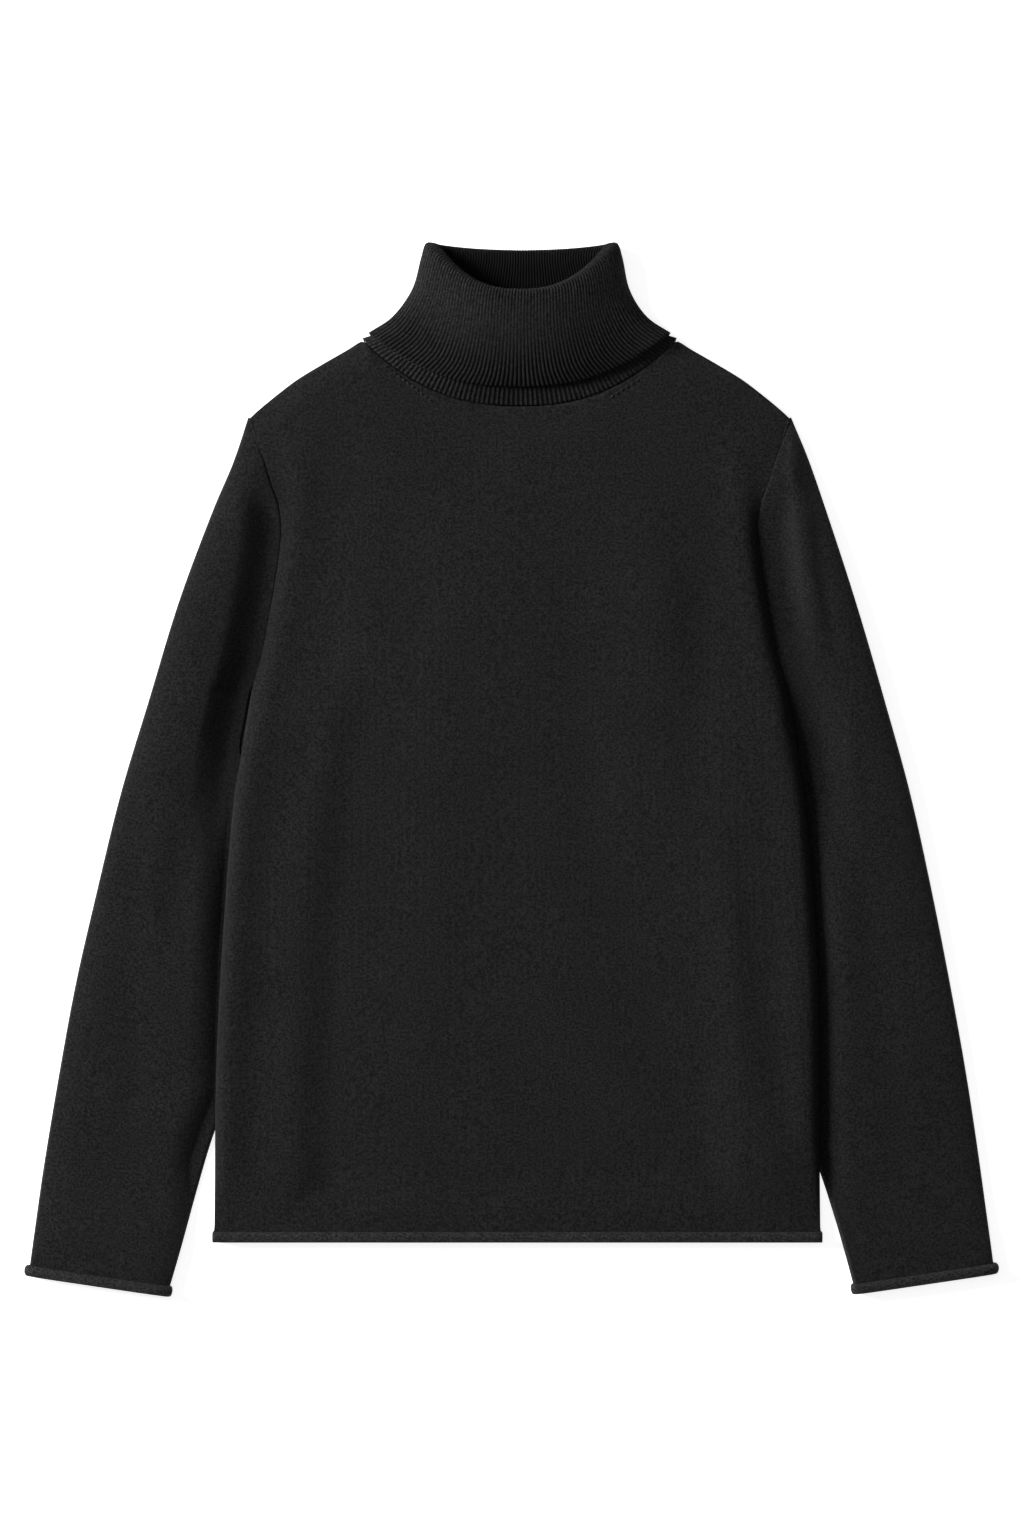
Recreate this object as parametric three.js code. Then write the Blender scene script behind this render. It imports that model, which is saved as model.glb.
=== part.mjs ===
// A black turtleneck sweater laid on its back, arms straight down beside the body.
// Millimetres. +X is to the right seen from above, +Y runs from hem to collar, +Z is up.
// Every piece is a wall of cloth: an outer skin, and an inner skin one cloth thickness in.
import * as THREE from "three";

// Cloth and seams
const CLOTH = 1.8;
const RIB_CLOTH = 2.4;
const SEAM_GAP = 0.3;
// Between the collar and the panels, along their cut necklines
const LINKING_GAP = 0.9;

// The roll that a plain knit edge curls into
const ROLL_RADIUS = 2.85;
const ROLL_TURN = THREE.MathUtils.degToRad(275);
const ROLL_STEPS = 6;
// At the folded sides of a tube the roll is flattened to this share, and it is full where
// the outward normal rises this much
const SIDE_CURL = 0.4;
const LEVEL_NORMAL = 0.8;
const ROLL_OUTER = ROLL_RADIUS + CLOTH / 2;
const ROLL_LIFT = 2 * ROLL_OUTER - CLOTH;

// Levels of the laid layers
const SLEEVE_FLAT = 4.4;
const TUCK_LIFT = SLEEVE_FLAT + 0.8;
const LAYER_GAP = 0.5;
const BODY_LOFT = 8;
const HEM_LOFT = 2 * CLOTH + LAYER_GAP;
const HEMWARD = { from: 6, over: 60, foldShare: 0.35 };
const SHOULDER_LEVEL = 2 * CLOTH + SEAM_GAP;
// Widths over which the front comes down to its side seam and to its top edge
const SIDE_ROUNDING = 13;
const TOP_SLOPE = 26;
// The shoulder line rises to the armhole's level over its last stretch
const TIP_RISE = { from: 165, over: 24 };
const ARMHOLE_BLEND = { body: 12, sleeve: 38 };

// Body: half its width at each height above the hem
const BODY = [
  { y: 0, half: 214 },
  { y: 12, half: 212 },
  { y: 100, half: 211.5 },
  { y: 170, half: 210 },
  { y: 240, half: 206 },
  { y: 310, half: 200 },
  { y: 338, half: 195.5 },
  { y: 380, half: 189 },
  { y: 415, half: 180 },
  { y: 450, half: 173.5 },
  { y: 478, half: 169 },
  { y: 500, half: 166.8 },
  { y: 516, half: 168.5 },
  { y: 531, half: 173.5 },
  { y: 547, half: 178.5 },
  { y: 562, half: 184 },
  { y: 577, half: 189 },
];
const ARMPIT_Y = 390;
// Below this height a panel's rows run level
const LEVEL_ROWS_Y = 400;
const SHOULDER_TIP = { x: 189, y: 577 };
const NECK_POINT = { x: 112.4, y: 629.3 };
const NECK_POWER = 2.4;

// Shoulder line from neck point to tip
const SHOULDER = [
  { x: 112.4, y: 629.3 },
  { x: 119, y: 626 },
  { x: 138, y: 615 },
  { x: 156, y: 604 },
  { x: 170.5, y: 593 },
  { x: 184, y: 581.7 },
  { x: 189, y: 577 },
];

// Height of the armhole seam on the upper layer
const ARMHOLE_TOP = [
  { y: 390, z: 6 },
  { y: 410, z: 6.4 },
  { y: 443, z: 7 },
  { y: 481, z: 8 },
  { y: 516, z: 9 },
  { y: 547, z: 9 },
  { y: 562, z: 7 },
  { y: 577, z: 4.9 },
];
// Both sides of an armhole seam have their points at these heights
const ARMHOLE_ROWS = [577, 562, 547, 531, 516, 500, 481, 462, 443, 425, 410, 398, 390];
const BACK_ARMHOLE_ROWS = [577, 531, 481, 425, 390];

// Strip of the body's sides that lies over the tucked sleeves
const TUCK_STRIP = 50;
const TUCK_RAMP = 16;
const TUCK_TOP = { from: 362, to: 345 };
const HEM_RAMP = { from: 8, to: 45 };
// The front follows those steps from further off and more softly
const SOFT_TUCK = { across: 35, acrossRamp: 32, from: 410, along: 56 };
const SOFT_HEM = { from: 16, ramp: 37 };
// Front and back share these rows, so that one lies on the other without touching it
const SHARED_ROWS = [68, 45, 33, 22, 12, ROLL_OUTER];
const UNDERARM_ROWS = [376, TUCK_TOP.from, TUCK_TOP.to];
const FRONT_ROWS = [318, 284, 248, 212, 176, 140, 104];
const BACK_ROWS = [TUCK_TOP.from, TUCK_TOP.to, 284, 212, 140];
// Columns of the front as shares of half its width, closer together where it turns down
const FRONT_COLUMNS = [
  0, 0.08, 0.16, 0.24, 0.32, 0.41, 0.5, NECK_POINT.x / SHOULDER_TIP.x,
  0.65, 0.725, 0.795, 0.86, 0.91, 0.95, 0.98, 0.994, 1,
];

// Columns of the back: beside its edge, then as shares of the stretch under the collar
const BACK_EDGE_STRIP = 14;
const BACK_MIDDLE_SHARES = [0.75, 0.5, 0.25, 0];

// Long soft folds of the front: path points are [y, x], height is above the loft
const BODY_FOLDS = [
  {
    name: "left edge ridge", height: 5.5, width: 10,
    path: [[536, -153], [338, -187], [240, -197], [65, -202]],
  },
  {
    name: "left trough", height: -3.6, width: 13,
    path: [[490, -131], [422, -136], [338, -154], [254, -173], [72, -184]],
  },
  {
    name: "left faint trough", height: -1.4, width: 14,
    path: [[200, -137], [128, -136], [50, -134]],
  },
  {
    name: "centre ridge", height: 3.6, width: 33,
    path: [[500, -33], [380, -42], [240, -56], [100, -66], [20, -82]],
  },
  {
    name: "centre trough", height: -3.8, width: 17,
    path: [[440, 37], [366, 42], [240, 66], [100, 108], [16, 147]],
  },
  {
    name: "right ridge", height: 4, width: 17,
    path: [[490, 94], [380, 98], [240, 126], [100, 171], [30, 190]],
  },
  {
    name: "right trough", height: -3.6, width: 12,
    path: [[440, 125], [338, 134], [240, 162], [100, 185], [50, 197]],
  },
  {
    name: "right edge ridge", height: 5.5, width: 10,
    path: [[536, 153], [478, 157], [380, 175], [275, 192], [90, 200]],
  },
];

// Long soft folds of the sleeves
const SLEEVE_FOLDS = {
  left: [
    {
      name: "inner valley", height: -5, width: 11,
      path: [[552, -184], [475, -191], [395, -203], [357, -217], [240, -241]],
    },
    {
      name: "outer trough", height: -3, width: 10,
      path: [[300, -265], [240, -274], [110, -270]],
    },
  ],
  right: [
    {
      name: "cap ridge", height: 2.5, width: 10,
      path: [[565, 191], [500, 194], [440, 203]],
    },
    {
      name: "cap trough", height: -3.5, width: 9,
      path: [[530, 203], [457, 205], [370, 212]],
    },
    {
      name: "long trough", height: -3, width: 11,
      path: [[330, 232], [220, 246], [90, 262]],
    },
  ],
};
const FOLD_FADE = 45;

// Sleeves: the outline of each side, distances from the middle of the body
const SLEEVE_OUTER = {
  left: [
    { y: 578, x: 189.3 },
    { y: 548, x: 199.5 },
    { y: 514, x: 214 },
    { y: 447, x: 239.2 },
    { y: 380, x: 259.6 },
    { y: 313, x: 279.8 },
    { y: 246, x: 296.2 },
    { y: 178, x: 311.7 },
    { y: 111, x: 323.9 },
    { y: 44, x: 334.9 },
    { y: -17, x: 343.4 },
  ],
  right: [
    { y: 578, x: 189.3 },
    { y: 548, x: 202 },
    { y: 514, x: 214 },
    { y: 447, x: 236 },
    { y: 380, x: 255.6 },
    { y: 313, x: 274 },
    { y: 246, x: 288.8 },
    { y: 178, x: 302.2 },
    { y: 111, x: 314.1 },
    { y: 44, x: 324 },
    { y: -17, x: 332.1 },
  ],
};
const SLEEVE_INNER = {
  left: [
    { y: 388, x: 189 },
    { y: 365, x: 191.9 },
    { y: 345, x: 195 },
    { y: 325, x: 188 },
    { y: 300, x: 176 },
    { y: 270, x: 168 },
    { y: 240, x: 166 },
    { y: 200, x: 170 },
    { y: 160, x: 180 },
    { y: 120, x: 197 },
    { y: 72, x: 215.6 },
    { y: 30, x: 228 },
    { y: 2, x: 236 },
    { y: -30, x: 245.3 },
  ],
  right: [
    { y: 388, x: 189 },
    { y: 365, x: 191.9 },
    { y: 345, x: 195 },
    { y: 325, x: 188 },
    { y: 300, x: 176 },
    { y: 270, x: 168 },
    { y: 240, x: 166 },
    { y: 200, x: 169 },
    { y: 160, x: 176 },
    { y: 120, x: 188 },
    { y: 72, x: 202.5 },
    { y: 33, x: 215.8 },
    { y: 2, x: 225.3 },
    { y: -30, x: 234 },
  ],
};
// Rings of a sleeve: where each one crosses the outer and the inner edge
const SLEEVE_RINGS = [
  { outerY: 578, innerY: 388 },
  { outerY: 540, innerY: 386 },
  { outerY: 500, innerY: 381 },
  { outerY: 460, innerY: 373 },
  { outerY: 424, innerY: 361 },
  { outerY: 392, innerY: 343 },
  { outerY: 362, innerY: 322 },
  { outerY: 328, innerY: 294 },
  { outerY: 292, innerY: 262 },
  { outerY: 254, innerY: 227 },
  { outerY: 215, innerY: 191 },
  { outerY: 176, innerY: 155 },
  { outerY: 137, innerY: 118 },
  { outerY: 98, innerY: 81 },
  { outerY: 62, innerY: 46 },
  { outerY: 30, innerY: 14 },
  { outerY: 6, innerY: -9 },
  { outerY: -17, innerY: -31.5 },
];
// Part of a ring's width that the body covers: a little past the body's edge, within limits
const COVERED = { past: 1.5, least: 0.09, most: 0.4 };
// Points of a ring's upper layer, as shares of the width beyond that part
const VISIBLE_SHARES = [0.06, 0.14, 0.24, 0.36, 0.49, 0.62, 0.74, 0.84, 0.92];
// Points of a ring's lower layer, from its outer to its inner edge
const LOWER_SHARES = [0.75, 0.5, 0.25];
// How far in from a ring's two edges the layers' last points stand
const RING_INSET = { upperOuter: 1.2, lowerOuter: 2.4, inner: 2.2 };
// Points of the outer edge itself, as distances in from it and shares of its height
const OUTER_EDGE = [{ inset: 0, height: 0.55 }, { inset: 0.7, height: 0.2 }];
const INNER_EDGE_HEIGHT = 0.5;
// Over the first rings the straight ring passes into the shape of the armhole
const BLEND_RINGS = 4;
const EDGE_INSET = 2.1;
const WALL_SLOPE = 1.12;
const INSIDE_GAP = 0.4;
const LEAST_THICKNESS = 0.9 * SLEEVE_FLAT;
// Share of the cuff's lift that the top of the sleeve takes part in
const LIFT_SHARE = 0.4;
// The outer edge leans, so a distance square to it is this much of the one along X
const EDGE_LEAN = 0.96;
const SLEEVE_LOFT = [
  { y: 579, left: 5, right: 5 },
  { y: 548, left: 13, right: 12 },
  { y: 500, left: 18, right: 16 },
  { y: 400, left: 19, right: 16 },
  { y: 300, left: 16, right: 14 },
  { y: 200, left: 13.5, right: 12 },
  { y: 100, left: 11.5, right: 10.5 },
  { y: 30, left: 10.5, right: 10 },
  { y: -17, left: 11, right: 11 },
];
const SLEEVE_ROUNDING = { left: 24, right: 16 };
const SLEEVE_INSIDE_RISE = 22;
// Beside the body the upper layer stays low over this width, between these heights
const LOW_STRIP = { width: 10.5, from: 20, full: 60, fullTop: 352, to: 388 };
const BODY_CLEARANCE = 2.5;
const TIP_FLARE = 0.9;
const CUFF_RAMP = { from: -8, to: 34 };

// Collar: rings from the seam up the stand, over the crest and down the fall. Each is the
// middle of the cloth: half its width, the Y of side, front and back, their heights, and how
// far in from the side the cloth turns round from back to front.
const COLLAR_COLUMNS = ["at", "half", "sideY", "frontY", "backY", "frontZ", "sideZ", "backZ", "turn"];
const COLLAR = [
  ["seam", 110.4, 630.6, 586, 618.8, 7.6, 4.6, 1.2, 6],
  ["stand low", 97, 632.9, 600, 627, 10.6, 7, 4.2, 5.3],
  ["stand middle", 76.5, 651, 627, 653, 14, 8.7, 4.7, 5.6],
  ["stand top", 58, 690, 660.5, 689.5, 20.4, 10.2, 4.7, 5.6],
  ["crest inside", 59.8, 697.6, 664, 693.8, 22.2, 10.2, 4.5, 6.2],
  ["crest outside", 65.6, 698.6, 664.3, 693.8, 24.8, 9.9, 1.5, 7.8],
  ["fall top", 69, 690, 660.5, 690, 26, 9.7, 1.2, 8.5],
  ["fall middle", 74.2, 669, 636, 664, 23.5, 9.2, 1.2, 8.8],
  ["fall low", 88.2, 646.8, 610, 640, 19, 8.2, 1.2, 9],
  ["fall edge", 102.8, 635.8, 599.5, 630.5, 14.8, 7.8, 1.2, 10],
].map((row) => Object.fromEntries(row.map((value, c) => [COLLAR_COLUMNS[c], value])));
const RIBS = 144;
const RIB_RELIEF = 0.3;
const RIBS_PER_PLAIN_COLUMN = 2;
// Where a face turns down towards the surface, its ribs fade out
const RIB_FADE = { from: 0.5, over: 0.4 };
const STAND_MIDDLE = 2;

const clamp01 = (t) => Math.min(1, Math.max(0, t));
const smooth = (t) => clamp01(t) ** 2 * (3 - 2 * clamp01(t));
const mix = (a, b, t) => a + (b - a) * t;

// A smooth curve through a table: one column as a function of another, level past its ends.
function curve(rows, from, to) {
  const points = rows.map((row) => [row[from], row[to]]).sort((a, b) => a[0] - b[0]);
  const slopes = points.slice(1).map((p, i) => (p[1] - points[i][1]) / (p[0] - points[i][0]));
  const tangents = points.map((_, i) => {
    if (i === 0) return slopes[0];
    if (i === points.length - 1) return slopes[i - 1];
    const before = slopes[i - 1];
    const after = slopes[i];
    return before * after <= 0 ? 0 : (2 * before * after) / (before + after);
  });
  return (v) => {
    if (v <= points[0][0]) return points[0][1];
    if (v >= points.at(-1)[0]) return points.at(-1)[1];
    const i = points.findIndex((p) => p[0] > v) - 1;
    const span = points[i + 1][0] - points[i][0];
    const t = (v - points[i][0]) / span;
    const start = (1 + 2 * t) * (1 - t) ** 2 * points[i][1];
    const end = t * t * (3 - 2 * t) * points[i + 1][1];
    const lean = t * (1 - t) ** 2 * tangents[i] - t * t * (1 - t) * tangents[i + 1];
    return start + end + lean * span;
  };
}

// How a surface rises from an edge: power 2 starts upright, power 1 starts as a slope.
const rise = (t, power) => (1 - (1 - clamp01(t)) ** 2) ** (1 / power);

// Sum of the folds at a place: each is a soft ridge across its path, fading at both ends.
function foldHeight(folds) {
  const ready = folds.map((fold) => {
    const ys = fold.path.map((p) => p[0]);
    const rows = fold.path.map((p) => ({ y: p[0], x: p[1] }));
    return { ...fold, at: curve(rows, "y", "x"), top: Math.max(...ys), low: Math.min(...ys) };
  });
  return (x, y) => ready.reduce((sum, fold) => {
    const above = smooth((fold.top + FOLD_FADE - y) / FOLD_FADE);
    const below = smooth((y - fold.low + FOLD_FADE) / FOLD_FADE);
    return sum + fold.height * above * below * Math.exp(-(((x - fold.at(y)) / fold.width) ** 2));
  }, 0);
}

const bodyHalf = curve(BODY, "y", "half");
const armholeTop = curve(ARMHOLE_TOP, "y", "z");
const shoulderLine = curve(SHOULDER, "x", "y");
const bodyFolds = foldHeight(BODY_FOLDS);

// Top edge of a panel: a neckline below the collar's seam, then the shoulder line.
function topEdge(x, neckY) {
  const across = Math.abs(x);
  const seam = COLLAR[0];
  const neckline = mix(neckY, seam.sideY, clamp01(across / seam.half) ** NECK_POWER) - LINKING_GAP;
  return Math.min(neckline, shoulderLine(across));
}

// Height of the underside of the back above the surface it lies on.
function backLift(inFromEdge, y) {
  const across = clamp01((TUCK_STRIP + TUCK_RAMP - inFromEdge) / TUCK_RAMP);
  const along = clamp01((TUCK_TOP.from - y) / (TUCK_TOP.from - TUCK_TOP.to));
  const hem = 1 - smooth((y - HEM_RAMP.from) / (HEM_RAMP.to - HEM_RAMP.from));
  return Math.max(TUCK_LIFT * across * along, ROLL_LIFT * hem);
}

// How far the front is lifted with the back: the same steps, begun earlier and made soft.
function frontLift(inFromEdge, y) {
  const across = smooth((TUCK_STRIP + SOFT_TUCK.across - inFromEdge) / SOFT_TUCK.acrossRamp);
  const along = smooth((SOFT_TUCK.from - y) / SOFT_TUCK.along);
  const hem = 1 - smooth((y - SOFT_HEM.from) / SOFT_HEM.ramp);
  return Math.max(TUCK_LIFT * across * along, ROLL_LIFT * hem);
}

// Outward normals of a grid of points. Down a column the directions of both steps count
// alike, so that a short step of a tight turn is not lost beside a long one.
function gridNormals(grid, round, outward) {
  const direction = (from, to) => new THREE.Vector3().subVectors(to, from).normalize();
  return grid.map((row, r) => row.map((point, c) => {
    const n = row.length;
    const left = round ? row[(c + n - 1) % n] : row[Math.max(c - 1, 0)];
    const right = round ? row[(c + 1) % n] : row[Math.min(c + 1, n - 1)];
    const above = direction(grid[Math.max(r - 1, 0)][c], point);
    const below = direction(point, grid[Math.min(r + 1, grid.length - 1)][c]);
    const along = new THREE.Vector3().subVectors(right, left);
    const down = above.add(below);
    return along.cross(down).normalize().multiplyScalar(outward);
  }));
}

// The rows of both skins that carry on from a wall's last row into an outward curl, which is
// flattened where it faces sideways, at the folded edges of a tube.
function curlRows(edge, normals, onward) {
  const skins = { outer: [], inner: [] };
  for (let step = 1; step <= ROLL_STEPS; step++) {
    const turn = (ROLL_TURN * step) / ROLL_STEPS;
    const place = (side) => edge.map((p, c) => {
      const n = normals[c].clone().addScaledVector(onward, -normals[c].dot(onward)).normalize();
      const flat = mix(SIDE_CURL, 1, smooth(Math.abs(n.z) / LEVEL_NORMAL));
      const radius = ROLL_RADIUS - (side * CLOTH) / 2;
      const away = ROLL_RADIUS - CLOTH / 2 - radius * Math.cos(turn);
      const point = p.clone().addScaledVector(n, flat * away);
      return point.addScaledVector(onward, radius * Math.sin(turn));
    });
    skins.outer.push(place(1));
    skins.inner.push(place(-1));
  }
  return skins;
}

// A strip of triangles between two rims that run the same way, matched by share of points.
function rimStrip(a, b, round, flip, faces) {
  const first = round ? [...a, a[0]] : a;
  const second = round ? [...b, b[0]] : b;
  const ends = [first.length - 1, second.length - 1];
  let i = 0;
  let j = 0;
  while (i < ends[0] || j < ends[1]) {
    const ahead = (i + 1) / ends[0] <= (j + 1) / ends[1];
    const stepFirst = i < ends[0] && (j === ends[1] || ahead);
    const face = [first[i], stepFirst ? first[i + 1] : second[j + 1], second[j]];
    faces.push(...(flip ? face.reverse() : face));
    if (stepFirst) i++;
    else j++;
  }
}

// One closed wall from its two skins; a round wall is a tube, others have side rims too.
// Two rows with the same number of points are joined by squares, others by a strip.
function wall(outer, inner, round) {
  const points = [];
  const faces = [];
  const place = (grid) => grid.map((row) => row.map((p) => points.push(p) - 1));
  const [o, i] = [place(outer), place(inner)];
  const skin = (grid, inside) => {
    for (let r = 0; r + 1 < grid.length; r++) {
      const [near, far] = [grid[r], grid[r + 1]];
      if (near.length !== far.length) {
        rimStrip(near, far, round, inside, faces);
        continue;
      }
      for (let c = 0; c < (round ? near.length : near.length - 1); c++) {
        const next = (c + 1) % near.length;
        const first = [near[c], near[next], far[next]];
        const second = [near[c], far[next], far[c]];
        faces.push(...(inside ? first.reverse() : first), ...(inside ? second.reverse() : second));
      }
    }
  };
  skin(o, false);
  skin(i, true);
  rimStrip(o[0], i[0], round, true, faces);
  rimStrip(o.at(-1), i.at(-1), round, false, faces);
  if (!round) {
    rimStrip(o.map((row) => row[0]), i.map((row) => row[0]), false, false, faces);
    rimStrip(o.map((row) => row.at(-1)), i.map((row) => row.at(-1)), false, true, faces);
  }
  let volume = 0;
  for (let f = 0; f < faces.length; f += 3) {
    const [p, q, r] = [points[faces[f]], points[faces[f + 1]], points[faces[f + 2]]];
    volume += p.dot(q.clone().cross(r));
  }
  if (volume < 0) faces.reverse();
  const geometry = new THREE.BufferGeometry().setFromPoints(points);
  geometry.setIndex(faces);
  geometry.computeVertexNormals();
  return geometry;
}

// Rows of a panel lie level at the sides and bend up towards shoulders and neck.
function panelY(x, sideY, neckY) {
  const share = smooth((sideY - LEVEL_ROWS_Y) / (SHOULDER_TIP.y - LEVEL_ROWS_Y));
  const tipX = (x * SHOULDER_TIP.x) / bodyHalf(sideY);
  return sideY + (topEdge(tipX, neckY) - SHOULDER_TIP.y) * share;
}

function mirrored(shares) {
  return [...shares.slice(1).reverse().map((u) => -u), ...shares];
}

// Height of a collar ring where it is so far across: a half circle at each side, then a low
// dome on the front and a level stretch on the back.
function collarRingZ(ring, across, front) {
  const radius = ring.sideZ - ring.backZ;
  const inward = (1 - Math.min(across, 1)) * ring.half;
  const turned = radius * rise(inward / ring.turn, 2);
  if (!front) return ring.sideZ - turned;
  return ring.sideZ + turned + (ring.frontZ - ring.sideZ - radius) * (1 - across ** NECK_POWER);
}

// A point of a collar ring at an angle round the neck, 0 at the middle of the front.
function collarPoint(ring, angle) {
  const across = Math.abs(Math.sin(angle));
  const front = Math.cos(angle) >= 0;
  const y = mix(ring.sideY, front ? ring.frontY : ring.backY, 1 - across ** NECK_POWER);
  return new THREE.Vector3(ring.half * Math.sin(angle), y, collarRingZ(ring, across, front));
}

// Outside of the front at a place: loft and folds, let down to its seams at every edge.
function frontTop(x, y, sideY) {
  const inFromEdge = bodyHalf(sideY) - Math.abs(x);
  const backTop = backLift(inFromEdge, y) + CLOTH;
  const lift = frontLift(inFromEdge, y);
  const clear = lift + HEM_LOFT;
  const upward = smooth((y - HEMWARD.from) / HEMWARD.over);
  const free = lift + mix(HEM_LOFT, BODY_LOFT, upward);
  const folded = Math.max(free + bodyFolds(x, y) * mix(HEMWARD.foldShare, 1, upward), clear);
  const onArmhole = smooth((sideY - ARMPIT_Y) / ARMHOLE_BLEND.body + 1);
  const sideSeam = backTop + SEAM_GAP + CLOTH * (1 - upward);
  const edgeZ = mix(sideSeam, armholeTop(sideY), onArmhole);
  const power = mix(mix(1, 2, upward), 1, onArmhole);
  const fromSide = edgeZ + (folded - edgeZ) * rise(inFromEdge / SIDE_ROUNDING, power);
  const across = Math.abs(x);
  const tipward = smooth((across - TIP_RISE.from) / TIP_RISE.over);
  const shoulder = mix(SHOULDER_LEVEL, armholeTop(SHOULDER_TIP.y), tipward);
  const neckZ = collarRingZ(COLLAR[0], Math.min(across / COLLAR[0].half, 1), true) + CLOTH / 2;
  const topZ = across < NECK_POINT.x ? neckZ : shoulder;
  const fromTop = topEdge(x, COLLAR[0].frontY) - y;
  return topZ + (fromSide - topZ) * rise(fromTop / TOP_SLOPE, 1);
}

function frontGeometry() {
  const columns = mirrored(FRONT_COLUMNS);
  const rows = [...ARMHOLE_ROWS, ...UNDERARM_ROWS, ...FRONT_ROWS, ...SHARED_ROWS];
  const outer = rows.map((sideY) => columns.map((u) => {
    const x = u * bodyHalf(sideY);
    const y = panelY(x, sideY, COLLAR[0].frontY);
    return new THREE.Vector3(x, y, frontTop(x, y, sideY));
  }));
  const normals = gridNormals(outer, false, -1);
  const inner = outer.map((row, r) => row.map((point, c) => {
    const p = point.clone().addScaledVector(normals[r][c], -CLOTH);
    const floor = backLift(bodyHalf(rows[r]) - Math.abs(p.x), p.y) + CLOTH + SEAM_GAP;
    return p.setZ(Math.max(p.z, floor));
  }));
  const curl = curlRows(outer.at(-1), normals.at(-1), new THREE.Vector3(0, -1, 0));
  return wall([...outer, ...curl.outer], [...inner, ...curl.inner], false);
}

function backGeometry() {
  const rows = [...BACK_ARMHOLE_ROWS, ...BACK_ROWS, ...SHARED_ROWS];
  const neckIn = SHOULDER_TIP.x - NECK_POINT.x;
  const insets = [0, BACK_EDGE_STRIP, TUCK_STRIP, TUCK_STRIP + TUCK_RAMP, neckIn];
  const outer = rows.map((sideY) => {
    const half = bodyHalf(sideY);
    const sides = insets.map((inset) => half - inset);
    const middle = BACK_MIDDLE_SHARES.map((u) => u * (half - neckIn));
    return mirrored([...sides, ...middle].reverse()).map((x) => {
      const y = panelY(x, sideY, COLLAR[0].backY);
      return new THREE.Vector3(x, y, backLift(half - Math.abs(x), y));
    });
  });
  const inner = outer.map((row) => row.map((p) => p.clone().setZ(p.z + CLOTH)));
  const down = outer.at(-1).map(() => new THREE.Vector3(0, 0, -1));
  const curl = curlRows(outer.at(-1), down, new THREE.Vector3(0, -1, 0));
  return wall([...outer, ...curl.outer], [...inner, ...curl.inner], false);
}

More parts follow.
